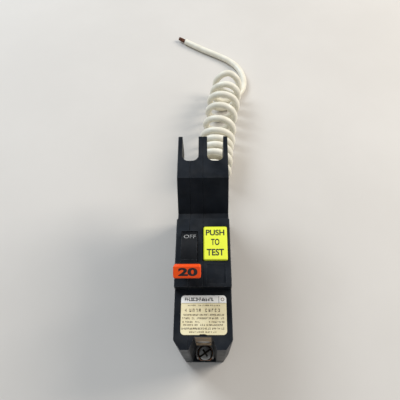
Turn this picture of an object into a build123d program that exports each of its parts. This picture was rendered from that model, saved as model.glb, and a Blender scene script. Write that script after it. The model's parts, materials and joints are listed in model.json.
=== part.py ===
from build123d import *
import math
import os

# One-inch, single-pole, plug-on GFCI breaker, standing on its base with its front face up.
# Millimetres. +X is the GFCI half, +Y the line end, +Z the front face.
# The origin is on the case's base, midway between its sides and near the middle of its length.

# ---- case ----
CASE_WIDTH = 25.4
CASE_LENGTH = 102.7
LINE_REACH = 51.9
DECK_HEIGHT = 50.0
HUMP_START = 25.3
HUMP_LENGTH = 34.0
HUMP_RISE_LOAD = 5.3
HUMP_RISE_LINE = 2.5
VALLEY_LENGTH = 6.0
VALLEY_HEIGHT = 46.4
TONGUE_RISE_RUN = 12.4
TONGUE_HEIGHT = 60.5
TONGUE_THICKNESS = 15.0
TONGUE_OVERHANG = 20.4
WALL = 1.5
BASE_WALL = 3.6
PARTITION = 1.4
TERMINAL_BLOCK = 13.5
CORNER_CUT_X = 3.0
CORNER_CUT_Y = 4.0
EDGE_ROUND = 0.45
SEAM_BEVEL = 0.22
PIECE_GAP = 0.1

HALF_WIDTH = CASE_WIDTH / 2
MODULE_WIDTH = CASE_WIDTH / 4
SEAM_LEFT = -MODULE_WIDTH
LOAD_END = LINE_REACH - CASE_LENGTH
LINE_END = LINE_REACH
BODY_END = LINE_END - TONGUE_OVERHANG
HUMP_LOAD = LOAD_END + HUMP_START
HUMP_LINE = HUMP_LOAD + HUMP_LENGTH
VALLEY_END = HUMP_LINE + VALLEY_LENGTH
TONGUE_START = VALLEY_END + TONGUE_RISE_RUN
CAVITY_LOAD = LOAD_END + TERMINAL_BLOCK
CAVITY_LINE = BODY_END - WALL
CAVITY_LEFT = -HALF_WIDTH + WALL
CAVITY_RIGHT = HALF_WIDTH - WALL
BREAKER_MIDDLE = (CAVITY_LEFT - PARTITION) / 2
GFCI_MIDDLE = CAVITY_RIGHT / 2

# ---- fork in the tongue ----
NOTCH_WIDTH = 8.3
NOTCH_DEPTH = 15.0
NOTCH_CORNER = 3.3

# ---- rivets: (y, z) places ----
RIVET_RADIUS = 1.5
RIVET_HEAD_RADIUS = 2.8
RIVET_HEAD_DEPTH = 0.8
RIVET_CLEARANCE = 0.05
RIVET_BOSS_RADIUS = 2.8
RIVET_LOAD_Y = LOAD_END + 11.1
RIVET_PLACES = (
    (RIVET_LOAD_Y, DECK_HEIGHT - 7.0),
    (RIVET_LOAD_Y, 14.0),
    (BODY_END - 7.5, VALLEY_HEIGHT + 2.0),
    (BODY_END - 18.5, BASE_WALL + 2.6),
)

# ---- handle ----
PIVOT_Y = HUMP_LOAD + 17.3
PIVOT_Z = DECK_HEIGHT - 8.0
HANDLE_THROW = 55.0
HANDLE_LEAN = 29.5
HANDLE_REACH = 30.5
HANDLE_TIP_DEPTH = 4.2
HANDLE_TIP_WIDTH = 11.4
HANDLE_TIP_LENGTH = 5.2
BARREL_RADIUS = 14.4
BARREL_WALL = 1.6
BARREL_ANGLE = 71.0
WINDOW_WIDTH = 7.8
WINDOW_LENGTH = 20.0
WINDOW_CLEARANCE = 0.25
HANDLE_WIDTH = WINDOW_WIDTH - 2 * WINDOW_CLEARANCE
HUB_RADIUS = 3.6
PIN_RADIUS = 1.5
RUNNING_CLEARANCE = 0.06
PIN_SEAT = 0.5

# ---- contact arm ----
ARM_Y = PIVOT_Y + 6.2
ARM_Z = PIVOT_Z - 8.5
ARM_LENGTH = 22.0
ARM_WIDTH = 4.0
ARM_THICKNESS = 2.0
ARM_HUB_RADIUS = 2.6
ARM_PIN_RADIUS = 1.2
ARM_THROW = 14.0
CONTACT_RADIUS = 2.0
CONTACT_HEIGHT = 1.2
CONTACT_DROP = 19.5
CONTACT_GAP = 0.15

# ---- line jaw and strap ----
STRAP_THICKNESS = 1.2
STRAP_WIDTH = 6.0
JAW_SLOT = 3.0
JAW_START = BODY_END - 14.0
JAW_TOP = 12.0
JAW_GRIP = 1.8
JAW_METAL = 0.8
JAW_BASE_GAP = 0.2

# ---- arc chute ----
CHUTE_START = ARM_Y + 11.5
CHUTE_LENGTH = 8.5
CHUTE_BOTTOM = 17.5
CHUTE_PITCH = 2.5
CHUTE_COUNT = 5
CHUTE_PLATE = 1.0
CHUTE_SIDE = 0.6
CHUTE_WIDTH = 7.8

# ---- cradle, armature and thermal trip ----
CRADLE_Y = ARM_Y + 7.0
CRADLE_Z = ARM_Z + 2.0
CRADLE_THICKNESS = 1.2
CRADLE_HUB_RADIUS = 2.2
CRADLE_TIP_Z = 27.0
CRADLE_TRIP = 14.0
ARMATURE_Y = CAVITY_LOAD + 7.2
ARMATURE_Z = 38.0
ARMATURE_THICKNESS = 1.0
ARMATURE_LENGTH = 24.0
ARMATURE_PULL = 6.0
SMALL_PIN_RADIUS = 0.9
LATCH_GAP = 0.3
BIMETAL_Y = CAVITY_LOAD + 2.5
BIMETAL_WIDTH = 5.0
BRAID_RADIUS = 0.75

# ---- terminals ----
CHANNEL_DEPTH = 5.3
CHANNEL_BACK_WIDTH = 7.7
CHANNEL_MOUTH_WIDTH = 12.0
CHANNEL_FLOOR = 3.0
WELL_RADIUS = 4.85
WELL_TOP = 23.0
SCREW_X = 0.4
SCREW_Y = LOAD_END + 3.4
SCREW_HEAD_RADIUS = 3.3
SCREW_HEAD_HEIGHT = 2.4
SCREW_RADIUS = 2.4
SCREW_SLOT = 1.0
SCREW_SLOT_DEPTH = 1.1
SCREW_PITCH = 0.79
SCREW_TURNS = 3
CLAMP_RADIUS = 3.7
CLAMP_THICKNESS = 1.2
TERMINAL_STRAP_Z = 6.0
TERMINAL_GAP = 0.2
COLLAR_INNER = 4.05
COLLAR_OUTER = WELL_RADIUS - 0.1
COLLAR_TOP = 13.0
NEUTRAL_Z = 34.0
NEUTRAL_PLATE = 0.6
NEUTRAL_POCKET_DEPTH = 4.0
NEUTRAL_POCKET_BOTTOM = 24.0
NEUTRAL_POCKET_TOP = DECK_HEIGHT - 1.6
NEUTRAL_HEAD_RADIUS = 3.0
NEUTRAL_HEAD_HEIGHT = 1.5

# ---- test button ----
BUTTON_WIDTH = 11.0
BUTTON_LENGTH = 17.2
BUTTON_LOAD = HUMP_LOAD + 12.2
BUTTON_PROUD = 0.9
BUTTON_SKIRT = 4.2
BUTTON_CLEARANCE = 0.3
BUTTON_TRAVEL = 1.2
BUTTON_CORNER = 0.8
BUTTON_BEVEL = 0.45
STEM_RADIUS = 1.4
SHELF_Z = 40.0
SHELF_THICKNESS = 1.2
BRIDGE_Z = 36.2

# ---- ground-fault trip ----
SOLENOID_Z = 41.3
SOLENOID_RADIUS = 4.8
SOLENOID_START = CAVITY_LOAD + 5.8
SOLENOID_LENGTH = 15.4
FRAME_METAL = 1.0
PLUNGER_RADIUS = 1.9
PLUNGER_STROKE = 1.5
LEVER_Y = CAVITY_LOAD + 2.4
LEVER_Z = 33.0
LEVER_TILT = 10.0
LEVER_THICKNESS = 1.2
GROOVE_CLEARANCE = 0.65

# ---- circuit board and sensor ----
BOARD_THICKNESS = 1.6
BOARD_FACE = CAVITY_RIGHT - 2.3
BOARD_LOAD = CAVITY_LOAD + 7.3
BOARD_LINE = 8.0
BOARD_BOTTOM = 8.0
BOARD_TOP = 31.0
SENSOR_Y = BODY_END - 11.5
SENSOR_OUTER = 5.2
SENSOR_INNER = 2.9
SENSOR_LENGTH = 6.0
LEAD_RADIUS = 0.95
LEAD_FLOOR = BASE_WALL + LEAD_RADIUS + 0.3
LEAD_SPREAD = 1.4

# ---- label and rail groove ----
LABEL_WIDTH = 19.9
LABEL_LENGTH = 16.8
LABEL_THICKNESS = 0.15
LABEL_CORNER = 1.3
LABEL_X = 0.3
LABEL_EDGE = 6.0
RAIL_GROOVE_Y = -33.0
RAIL_GROOVE_WIDTH = 4.5
RAIL_GROOVE_DEPTH = 2.2
RAIL_LIP_REACH = 2.6
RAIL_LIP_THICKNESS = 1.0

# ---- pigtail ----
WIRE_RADIUS = 2.2
COPPER_RADIUS = 1.45
BARE_LENGTH = 7.0
EXIT_X = MODULE_WIDTH
EXIT_Z = 17.0
BUSHING_LENGTH = 4.5
BUSHING_RADIUS = 3.3
COIL_RADIUS = 11.4
COIL_NEAR = (6.2, 60.5, 11.45)
COIL_FAR = (17.6, 141.0, 11.45)
TABLE_Z = WIRE_RADIUS + 0.05
EXIT = (EXIT_X, BODY_END + BUSHING_LENGTH, EXIT_Z)
LEAD_ROUTE = (EXIT, (EXIT_X, 45.0, EXIT_Z), (6.3, 53.8, 12.4), (6.2, 60.7, 5.4))
TAIL_ROUTE = (
    (13.5, 134.6, TABLE_Z),
    (23.6, 133.4, TABLE_Z),
    (29.4, 140.6, TABLE_Z),
    (30.6, 151.8, TABLE_Z),
    (27.0, 163.2, TABLE_Z),
    (19.4, 171.8, TABLE_Z),
    (9.6, 178.4, TABLE_Z),
    (-2.4, 185.4, TABLE_Z),
    (-15.3, 194.6, TABLE_Z),
)


# ======== helpers ========
def block(x, y, z):
    """A box given as (low, high) pairs along X, Y and Z."""
    corner = (x[0], y[0], z[0])
    size = (x[1] - x[0], y[1] - y[0], z[1] - z[0])
    return Pos(*corner) * Box(*size, align=(Align.MIN, Align.MIN, Align.MIN))


def rod_x(radius, y, z, x_low, x_high):
    """A round bar along X."""
    return Pos((x_low + x_high) / 2, y, z) * Rot(0, 90, 0) * Cylinder(radius, x_high - x_low)


def rod_y(radius, x, z, y_low, y_high):
    """A round bar along Y."""
    return Pos(x, (y_low + y_high) / 2, z) * Rot(90, 0, 0) * Cylinder(radius, y_high - y_low)


def rod_z(radius, x, y, z_low, z_high):
    """A round bar along Z."""
    return Pos(x, y, (z_low + z_high) / 2) * Cylinder(radius, z_high - z_low)


def side_prism(outline, x_low, x_high):
    """A side outline of (y, z) points carried across the width."""
    wire = Polyline(*[(x_low, y, z) for y, z in outline], close=True)
    return extrude(make_face(wire), amount=x_high - x_low, dir=(1, 0, 0))


def plan_prism(outline, z_low, z_high):
    """A plan outline of (x, y) points carried upward."""
    wire = Polyline(*[(x, y, z_low) for x, y in outline], close=True)
    return extrude(make_face(wire), amount=z_high - z_low, dir=(0, 0, 1))


def ring_wedge(angle, reach, x_low, x_high):
    """A wedge about +Z, as wide as the given half angle, for cutting a barrel out of a ring."""
    edge = (reach * math.sin(math.radians(angle)), reach * math.cos(math.radians(angle)))
    outline = [(0, 0), (edge[0], edge[1]), (reach, reach), (-reach, reach), (-edge[0], edge[1])]
    return side_prism(outline, x_low, x_high)


# ======== case ========
def hump_height(y):
    """Height of the hump's top at a place along its length."""
    share = (y - HUMP_LOAD) / HUMP_LENGTH
    return DECK_HEIGHT + HUMP_RISE_LOAD + share * (HUMP_RISE_LINE - HUMP_RISE_LOAD)


def case_outline():
    """Side outline of the whole case, tongue included."""
    return [
        (LOAD_END, 0),
        (BODY_END, 0),
        (BODY_END, TONGUE_HEIGHT - TONGUE_THICKNESS),
        (LINE_END, TONGUE_HEIGHT - TONGUE_THICKNESS),
        (LINE_END, TONGUE_HEIGHT),
        (TONGUE_START, TONGUE_HEIGHT),
        (VALLEY_END, VALLEY_HEIGHT - 0.6),
        (HUMP_LINE + 0.6, VALLEY_HEIGHT + 0.8),
        (HUMP_LINE, hump_height(HUMP_LINE)),
        (HUMP_LOAD, hump_height(HUMP_LOAD)),
        (HUMP_LOAD, DECK_HEIGHT),
        (LOAD_END, DECK_HEIGHT),
    ]


def cavity_outline():
    """Side outline of the hollow, one wall inside the case and short of the terminal block."""
    slope = math.atan2(TONGUE_HEIGHT - VALLEY_HEIGHT, TONGUE_RISE_RUN)
    lean = WALL / math.cos(slope)
    rise = (CAVITY_LINE - VALLEY_END) * math.tan(slope)
    return [
        (CAVITY_LOAD, BASE_WALL),
        (CAVITY_LINE, BASE_WALL),
        (CAVITY_LINE, min(VALLEY_HEIGHT + rise - lean - WALL, TONGUE_HEIGHT - WALL)),
        (VALLEY_END + WALL, VALLEY_HEIGHT - lean),
        (HUMP_LINE - WALL, VALLEY_HEIGHT - lean),
        (HUMP_LINE - WALL, hump_height(HUMP_LINE) - WALL),
        (HUMP_LOAD + WALL, hump_height(HUMP_LOAD) - WALL),
        (HUMP_LOAD + WALL, DECK_HEIGHT - WALL),
        (CAVITY_LOAD, DECK_HEIGHT - WALL),
    ]


def shell_blank(x_low, x_high):
    """A slice of the case with its corners cut, outer edges rounded and seam edges bevelled."""
    blank = side_prism(case_outline(), x_low, x_high)
    for side in (-1, 1):
        corner = [
            (side * (HALF_WIDTH - CORNER_CUT_X), LOAD_END - 1),
            (side * (HALF_WIDTH + 1), LOAD_END - 1),
            (side * (HALF_WIDTH + 1), LOAD_END + CORNER_CUT_Y * (1 + 1 / CORNER_CUT_X)),
            (side * (HALF_WIDTH - CORNER_CUT_X), LOAD_END),
        ]
        blank -= plan_prism(corner, -1, DECK_HEIGHT + 1)
    for x, place in ((x_low, 0), (x_high, -1)):
        edges = blank.faces().sort_by(Axis.X)[place].edges()
        if abs(abs(x) - HALF_WIDTH) < 1e-6:
            blank = fillet(edges, EDGE_ROUND)
        else:
            blank = chamfer(edges, SEAM_BEVEL)
    return blank


def fork_notches():
    """The two round-bottomed notches cut down through the tongue."""
    cuts = []
    for side in (-1, 1):
        low = LINE_END - NOTCH_DEPTH
        x_low = side * MODULE_WIDTH - NOTCH_WIDTH / 2
        notch = block(
            (x_low, x_low + NOTCH_WIDTH),
            (low, LINE_END + 5),
            (TONGUE_HEIGHT - TONGUE_THICKNESS - 1, TONGUE_HEIGHT + 1),
        )
        corners = notch.edges().filter_by(Axis.Z).group_by(Axis.Y)[0]
        cuts.append(fillet(corners, NOTCH_CORNER))
    return cuts


def rail_groove():
    """The undercut groove across the base that hooks over the panel's rail."""
    opening = (RAIL_GROOVE_Y, RAIL_GROOVE_Y + RAIL_GROOVE_WIDTH)
    lip = (RAIL_GROOVE_Y - RAIL_LIP_REACH, RAIL_GROOVE_Y + 0.1)
    across = (-HALF_WIDTH - 1, HALF_WIDTH + 1)
    groove = block(across, opening, (-1, RAIL_GROOVE_DEPTH))
    return groove + block(across, lip, (RAIL_LIP_THICKNESS, RAIL_GROOVE_DEPTH))


def terminal_channel():
    """The channel in the load end that gives a screwdriver and a wire their way in."""
    back = LOAD_END + CHANNEL_DEPTH
    mouth = CHANNEL_MOUTH_WIDTH / 2
    inner = CHANNEL_BACK_WIDTH / 2
    outline = [(-mouth, LOAD_END - 1), (mouth, LOAD_END - 1), (mouth, LOAD_END), (inner, back)]
    outline += [(-inner, back), (-mouth, LOAD_END)]
    return plan_prism(outline, CHANNEL_FLOOR, DECK_HEIGHT + 1)


def terminal_cuts():
    """Everything the terminals need taken out of the load end."""
    strap_z = (TERMINAL_STRAP_Z - PIECE_GAP, TERMINAL_STRAP_Z + STRAP_THICKNESS + PIECE_GAP)
    back = LOAD_END + CHANNEL_DEPTH
    pocket_y = (back - 0.5, back + NEUTRAL_POCKET_DEPTH)
    side = CHANNEL_BACK_WIDTH / 2 - 0.2
    slot = (0.2, LOAD_STRAP_RIGHT + PIECE_GAP)
    return [
        terminal_channel(),
        rod_z(WELL_RADIUS, SCREW_X, SCREW_Y, CHANNEL_FLOOR, WELL_TOP),
        block(slot, (SCREW_Y, CAVITY_LOAD + 1), strap_z),
        block((-side, side), pocket_y, (NEUTRAL_POCKET_BOTTOM, NEUTRAL_POCKET_TOP)),
        block(slot, (back + 1, CAVITY_LOAD + 1), (NEUTRAL_LEG_Z, NEUTRAL_LEG_Z + 1.2)),
    ]


def rivet_holes():
    """Clearance holes and head recesses for the case rivets."""
    cuts = []
    reach = HALF_WIDTH + 1
    for y, z in RIVET_PLACES:
        cuts.append(rod_x(RIVET_RADIUS + RIVET_CLEARANCE, y, z, -reach, reach))
        for low, high in ((-reach, -HALF_WIDTH + RIVET_HEAD_DEPTH), (HALF_WIDTH - RIVET_HEAD_DEPTH, reach)):
            cuts.append(rod_x(RIVET_HEAD_RADIUS + RIVET_CLEARANCE, y, z, low, high))
    return cuts


def rivet_bosses(x_low, x_high):
    """Plastic round the rivets where they cross the hollow."""
    places = [(y, z) for y, z in RIVET_PLACES if y > CAVITY_LOAD]
    return [rod_x(RIVET_BOSS_RADIUS, y, z, x_low, x_high) for y, z in places]


def handle_window():
    """The slot in the hump that the handle passes through, hollowed round the handle's barrel."""
    x_low = BREAKER_MIDDLE - WINDOW_WIDTH / 2
    y_low = PIVOT_Y - WINDOW_LENGTH / 2
    slot = block((x_low, x_low + WINDOW_WIDTH), (y_low, y_low + WINDOW_LENGTH), (SLOT_FLOOR, DECK_HEIGHT + 9))
    return slot + rod_x(BARREL_RADIUS + WINDOW_CLEARANCE, PIVOT_Y, PIVOT_Z, x_low, x_low + WINDOW_WIDTH)


def jaw_slot():
    """The slot in the base and line wall that lets the bus stab reach the jaw."""
    across = (SEAM_LEFT - JAW_SLOT / 2, SEAM_LEFT + JAW_SLOT / 2)
    floor = block(across, (JAW_START, BODY_END + 1), (-1, BASE_WALL + 1))
    return floor + block(across, (CAVITY_LINE - 1, BODY_END + 1), (-1, JAW_TOP))


LOAD_STRAP_RIGHT = SCREW_X + STRAP_WIDTH / 2
NEUTRAL_LEG_Z = 24.0
NEUTRAL_LEG_RIGHT = 3.0
SLOT_FLOOR = hump_height(PIVOT_Y) - WALL - 2.5


def left_shell():
    """Outer shell of the breaker half."""
    shell = shell_blank(-HALF_WIDTH, SEAM_LEFT)
    shell -= side_prism(cavity_outline(), CAVITY_LEFT, SEAM_LEFT + 1)
    shell += rivet_bosses(CAVITY_LEFT - 0.2, SEAM_LEFT)
    shell -= [*fork_notches(), rail_groove(), handle_window(), jaw_slot(), *rivet_holes()]
    for y, z, radius in ((PIVOT_Y, PIVOT_Z, PIN_RADIUS), (CRADLE_Y, CRADLE_Z, ARM_PIN_RADIUS)):
        shell -= rod_x(radius, y, z, CAVITY_LEFT - PIN_SEAT, CAVITY_LEFT + 1)
    shell -= rod_x(SMALL_PIN_RADIUS, ARMATURE_Y, ARMATURE_Z, CAVITY_LEFT - PIN_SEAT, CAVITY_LEFT + 1)
    return shell


def finger_slot():
    """The slot in the partition for the ground-fault lever's finger."""
    return block((-PARTITION - 1, 1), (ARMATURE_Y - 0.4, ARMATURE_Y + 3.6), (24.6, 30.0))


def mid_shell():
    """Middle shell: the other wall of the breaker half and the partition to the GFCI half."""
    shell = shell_blank(SEAM_LEFT, 0)
    shell -= side_prism(cavity_outline(), SEAM_LEFT - 1, -PARTITION)
    shell += rivet_bosses(SEAM_LEFT, -PARTITION + 0.2)
    arm_boss_end = BREAKER_MIDDLE + ARM_WIDTH / 2 + 0.3
    shell += rod_x(ARM_HUB_RADIUS, ARM_Y, ARM_Z, arm_boss_end, -PARTITION + 0.2)
    shell -= [*fork_notches(), rail_groove(), handle_window(), jaw_slot(), *rivet_holes()]
    shell -= [*terminal_cuts(), finger_slot()]
    shell -= rod_x(PIN_RADIUS, PIVOT_Y, PIVOT_Z, -PARTITION - 1, -PARTITION + PIN_SEAT)
    shell -= rod_x(ARM_PIN_RADIUS, ARM_Y, ARM_Z, SEAM_LEFT, -PARTITION + PIN_SEAT)
    shell -= rod_x(SMALL_PIN_RADIUS, ARMATURE_Y, ARMATURE_Z, -PARTITION - 1, -PARTITION + PIN_SEAT)
    shell -= rod_x(SMALL_PIN_RADIUS, LEVER_Y, LEVER_Z, -PIN_SEAT, 1)
    shell -= rod_x(HOT_HOLE, *HOT_CROSSING, -PARTITION - 1, 1)
    return shell


def button_well():
    """The well that the test button slides in, open on the seam side."""
    low = BUTTON_LOAD - BUTTON_CLEARANCE
    high = BUTTON_LOAD + BUTTON_LENGTH + BUTTON_CLEARANCE
    right = BUTTON_CLEARANCE * 2 + BUTTON_WIDTH
    return block((-1, right), (low, high), (SHELF_Z + SHELF_THICKNESS, DECK_HEIGHT + 9))


def name_recess():
    """The shallow blank panel beside the handle tip."""
    low = HUMP_LOAD + 1.4
    recess = block((1.8, 10.2), (low, low + 9.0), (hump_height(low) - 0.9, DECK_HEIGHT + 9))
    return recess


def button_shelf():
    """The shelf that the button's spring stands on, with the stem's hole."""
    y_low = BUTTON_LOAD + BUTTON_LENGTH / 2 - 4.5
    shelf = block((0, CAVITY_RIGHT + 0.2), (y_low, y_low + 9.0), (SHELF_Z, SHELF_Z + SHELF_THICKNESS))
    stem_hole = STEM_RADIUS + RUNNING_CLEARANCE
    return shelf - rod_z(stem_hole, BUTTON_X, BUTTON_Y, SHELF_Z - 1, SHELF_Z + SHELF_THICKNESS + 1)


BUTTON_X = BUTTON_CLEARANCE + BUTTON_WIDTH / 2
BUTTON_Y = BUTTON_LOAD + BUTTON_LENGTH / 2
HOT_HOLE = 1.6
HOT_CROSSING = (SENSOR_Y + 7.5, EXIT_Z + 8.0)


def gfci_shell():
    """Right shell: the GFCI half, closed by the middle shell's partition."""
    shell = shell_blank(0, HALF_WIDTH)
    shell -= side_prism(cavity_outline(), -1, CAVITY_RIGHT)
    shell += rivet_bosses(0, CAVITY_RIGHT + 0.2)
    shell -= [*fork_notches(), rail_groove(), button_well(), name_recess(), *rivet_holes()]
    shell -= terminal_cuts()
    shell += button_shelf()
    shell -= rod_x(SMALL_PIN_RADIUS, LEVER_Y, LEVER_Z, CAVITY_RIGHT - 1, CAVITY_RIGHT + PIN_SEAT)
    shell -= rod_y(BUSHING_RADIUS - 0.8, EXIT_X, EXIT_Z, CAVITY_LINE - 1, BODY_END + 1)
    return shell


def case_rivets():
    """Tubular rivets through all three shells, heads sunk flush."""
    rivets = []
    for y, z in RIVET_PLACES:
        shank = rod_x(RIVET_RADIUS, y, z, -HALF_WIDTH + 0.1, HALF_WIDTH - 0.1)
        for low in (-HALF_WIDTH + 0.1, HALF_WIDTH - RIVET_HEAD_DEPTH + 0.05):
            shank += rod_x(RIVET_HEAD_RADIUS, y, z, low, low + RIVET_HEAD_DEPTH - 0.15)
        rivets.append(shank)
    return rivets


def rating_label():
    """The paper label on the deck."""
    low = LOAD_END + LABEL_EDGE
    x_low = LABEL_X - LABEL_WIDTH / 2
    sheet = block(
        (x_low, x_low + LABEL_WIDTH),
        (low, low + LABEL_LENGTH),
        (DECK_HEIGHT, DECK_HEIGHT + LABEL_THICKNESS),
    )
    return fillet(sheet.edges().filter_by(Axis.Z), LABEL_CORNER)


# ======== handle and contacts ========
def at_handle(shape):
    """Moves a shape from the handle's own frame, pivot at zero, to its OFF place."""
    return Pos(BREAKER_MIDDLE, PIVOT_Y, PIVOT_Z) * Rot(HANDLE_LEAN, 0, 0) * shape


def handle():
    """Toggle handle: hub, web, barrel that closes the window, and a neck that widens upward."""
    half = HANDLE_WIDTH / 2
    barrel = rod_x(BARREL_RADIUS, 0, 0, -half, half) - rod_x(BARREL_RADIUS - BARREL_WALL, 0, 0, -half, half)
    web = rod_x(BARREL_RADIUS - BARREL_WALL / 2, 0, 0, -1.2, 1.2)
    wedge = ring_wedge(BARREL_ANGLE, BARREL_RADIUS * 3, -HANDLE_WIDTH, HANDLE_WIDTH)
    body = (barrel & wedge) + (web & wedge) + rod_x(HUB_RADIUS, 0, 0, -half, half)
    neck_top = HANDLE_REACH - HANDLE_TIP_DEPTH
    flare = [(-half, 10), (half, 10), (half, 20.5), (TIP_HALF, 24.0), (TIP_HALF, neck_top)]
    flare += [(-TIP_HALF, neck_top), (-TIP_HALF, 24.0), (-half, 20.5)]
    wire = Polyline(*[(x, -NECK_HALF, z) for x, z in flare], close=True)
    neck = extrude(make_face(wire), amount=2 * NECK_HALF, dir=(0, 1, 0))
    body = body + neck - rod_x(PIN_RADIUS + RUNNING_CLEARANCE, 0, 0, -half - 1, half + 1)
    return at_handle(body)


TIP_HALF = HANDLE_TIP_WIDTH / 2 - 0.15
NECK_HALF = HANDLE_TIP_LENGTH / 2 - 0.3


def handle_tip():
    """The coloured cap on the handle, where the rating is shown."""
    half = HANDLE_TIP_WIDTH / 2
    depth = HANDLE_TIP_LENGTH / 2
    cap = block((-half, half), (-depth, depth), (HANDLE_REACH - HANDLE_TIP_DEPTH, HANDLE_REACH))
    cap = fillet(cap.edges().filter_by(Axis.Z), 0.8)
    cap = fillet(cap.faces().sort_by(Axis.Z)[-1].edges(), 0.5)
    return at_handle(cap)


def handle_pin():
    return rod_x(PIN_RADIUS, PIVOT_Y, PIVOT_Z, CAVITY_LEFT - PIN_SEAT, -PARTITION + PIN_SEAT)


def at_arm(shape, angle):
    """Moves a shape from the contact arm's own frame to a given swing."""
    return Pos(BREAKER_MIDDLE, ARM_Y, ARM_Z) * Rot(angle, 0, 0) * shape


def contact_arm():
    """The arm that hangs from its pin and swings to the fixed contact."""
    half = ARM_WIDTH / 2
    thick = ARM_THICKNESS / 2
    arm = block((-half, half), (-thick, thick), (-ARM_LENGTH, 0)) + rod_x(ARM_HUB_RADIUS, 0, 0, -half, half)
    arm -= rod_x(ARM_PIN_RADIUS + RUNNING_CLEARANCE, 0, 0, -half - 1, half + 1)
    return at_arm(arm, 0)


def arm_pin():
    end = BREAKER_MIDDLE - ARM_WIDTH / 2 - 0.4
    return rod_x(ARM_PIN_RADIUS, ARM_Y, ARM_Z, end, -PARTITION + PIN_SEAT)


def moving_contact():
    face = ARM_THICKNESS / 2
    return at_arm(rod_y(CONTACT_RADIUS, 0, -CONTACT_DROP, face, face + CONTACT_HEIGHT), 0)


FIXED_FACE = ARM_THICKNESS / 2 + CONTACT_HEIGHT + CONTACT_GAP


def fixed_contact():
    pad = rod_y(CONTACT_RADIUS, 0, -CONTACT_DROP, FIXED_FACE, FIXED_FACE + CONTACT_HEIGHT)
    return at_arm(pad, ARM_THROW)


def line_strap():
    """Copper strap that carries the fixed contact and stands on the jaw."""
    half = STRAP_WIDTH / 2
    low = FIXED_FACE + CONTACT_HEIGHT
    height = (-CONTACT_DROP - 2.4, -CONTACT_DROP + 3.5)
    plate = at_arm(block((-half, half), (low, low + STRAP_THICKNESS), height), ARM_THROW)
    foot_start = ARM_Y + 8.0
    level = (JAW_TOP, JAW_TOP + STRAP_THICKNESS)
    x = (BREAKER_MIDDLE - half, BREAKER_MIDDLE + half)
    return plate + block(x, (foot_start, CAVITY_LINE - 4.0), level)


def line_jaw():
    """Two sprung cheeks and a bridge that grip the bus stab."""
    y = (JAW_START + 0.5, CAVITY_LINE - 0.3)
    z = (BASE_WALL + JAW_BASE_GAP, JAW_TOP)
    grip = JAW_GRIP / 2
    jaw = block((SEAM_LEFT - grip - JAW_METAL, SEAM_LEFT + grip + JAW_METAL), y, (JAW_TOP - 1.0, JAW_TOP))
    for low, high in ((-grip - JAW_METAL, -grip), (grip, grip + JAW_METAL)):
        jaw += block((SEAM_LEFT + low, SEAM_LEFT + high), y, z)
    return jaw


def arc_plates():
    """Steel splitter plates with a notch facing the contacts."""
    half = CHUTE_WIDTH / 2
    plates = []
    for index in range(CHUTE_COUNT):
        z = CHUTE_BOTTOM + index * CHUTE_PITCH
        plate = block(
            (BREAKER_MIDDLE - half, BREAKER_MIDDLE + half),
            (CHUTE_START, CHUTE_START + CHUTE_LENGTH),
            (z, z + CHUTE_PLATE),
        )
        notch = [
            (BREAKER_MIDDLE - 2.4, CHUTE_START - 1),
            (BREAKER_MIDDLE + 2.4, CHUTE_START - 1),
            (BREAKER_MIDDLE, CHUTE_START + 4.5),
        ]
        plates.append(plate - plan_prism(notch, z - 1, z + CHUTE_PLATE + 1))
    return plates


def arc_chute_sides():
    """Fibre cheeks that hold the splitter plates."""
    half = CHUTE_WIDTH / 2
    top = CHUTE_BOTTOM + CHUTE_COUNT * CHUTE_PITCH
    y = (CHUTE_START, CHUTE_START + CHUTE_LENGTH)
    z = (CHUTE_BOTTOM - 1.0, top)
    left = block((BREAKER_MIDDLE - half - CHUTE_SIDE, BREAKER_MIDDLE - half), y, z)
    return [left, block((BREAKER_MIDDLE + half, BREAKER_MIDDLE + half + CHUTE_SIDE), y, z)]


def toggle_spring():
    """Outer shape of the over-centre spring that hangs under the handle."""
    y = ARM_Y - ARM_HUB_RADIUS - 1.8
    top = PIVOT_Z - HUB_RADIUS - 0.4
    return rod_z(1.5, BREAKER_MIDDLE, y, top - 16.0, top) - rod_z(1.0, BREAKER_MIDDLE, y, top - 17.0, top + 1)


# ======== breaker trip ========
CRADLE_X = (CAVITY_LEFT + 0.3, CAVITY_LEFT + 0.3 + CRADLE_THICKNESS)
CRADLE_TIP_Y = ARMATURE_Y + ARMATURE_THICKNESS / 2 + LATCH_GAP


def cradle():
    """The latched lever of the breaker mechanism."""
    outline = [
        (CRADLE_Y, CRADLE_Z + CRADLE_HUB_RADIUS),
        (CRADLE_TIP_Y + 5.0, CRADLE_TIP_Z + 2.2),
        (CRADLE_TIP_Y, CRADLE_TIP_Z + 0.9),
        (CRADLE_TIP_Y, CRADLE_TIP_Z - 0.9),
        (CRADLE_TIP_Y + 6.0, CRADLE_TIP_Z - 1.4),
        (CRADLE_Y, CRADLE_Z - CRADLE_HUB_RADIUS),
    ]
    lever = side_prism(outline, *CRADLE_X) + rod_x(CRADLE_HUB_RADIUS, CRADLE_Y, CRADLE_Z, *CRADLE_X)
    hole = ARM_PIN_RADIUS + RUNNING_CLEARANCE
    return lever - rod_x(hole, CRADLE_Y, CRADLE_Z, CRADLE_X[0] - 1, CRADLE_X[1] + 1)


def cradle_pin():
    return rod_x(ARM_PIN_RADIUS, CRADLE_Y, CRADLE_Z, CAVITY_LEFT - PIN_SEAT, CRADLE_X[1] + 0.4)


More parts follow.
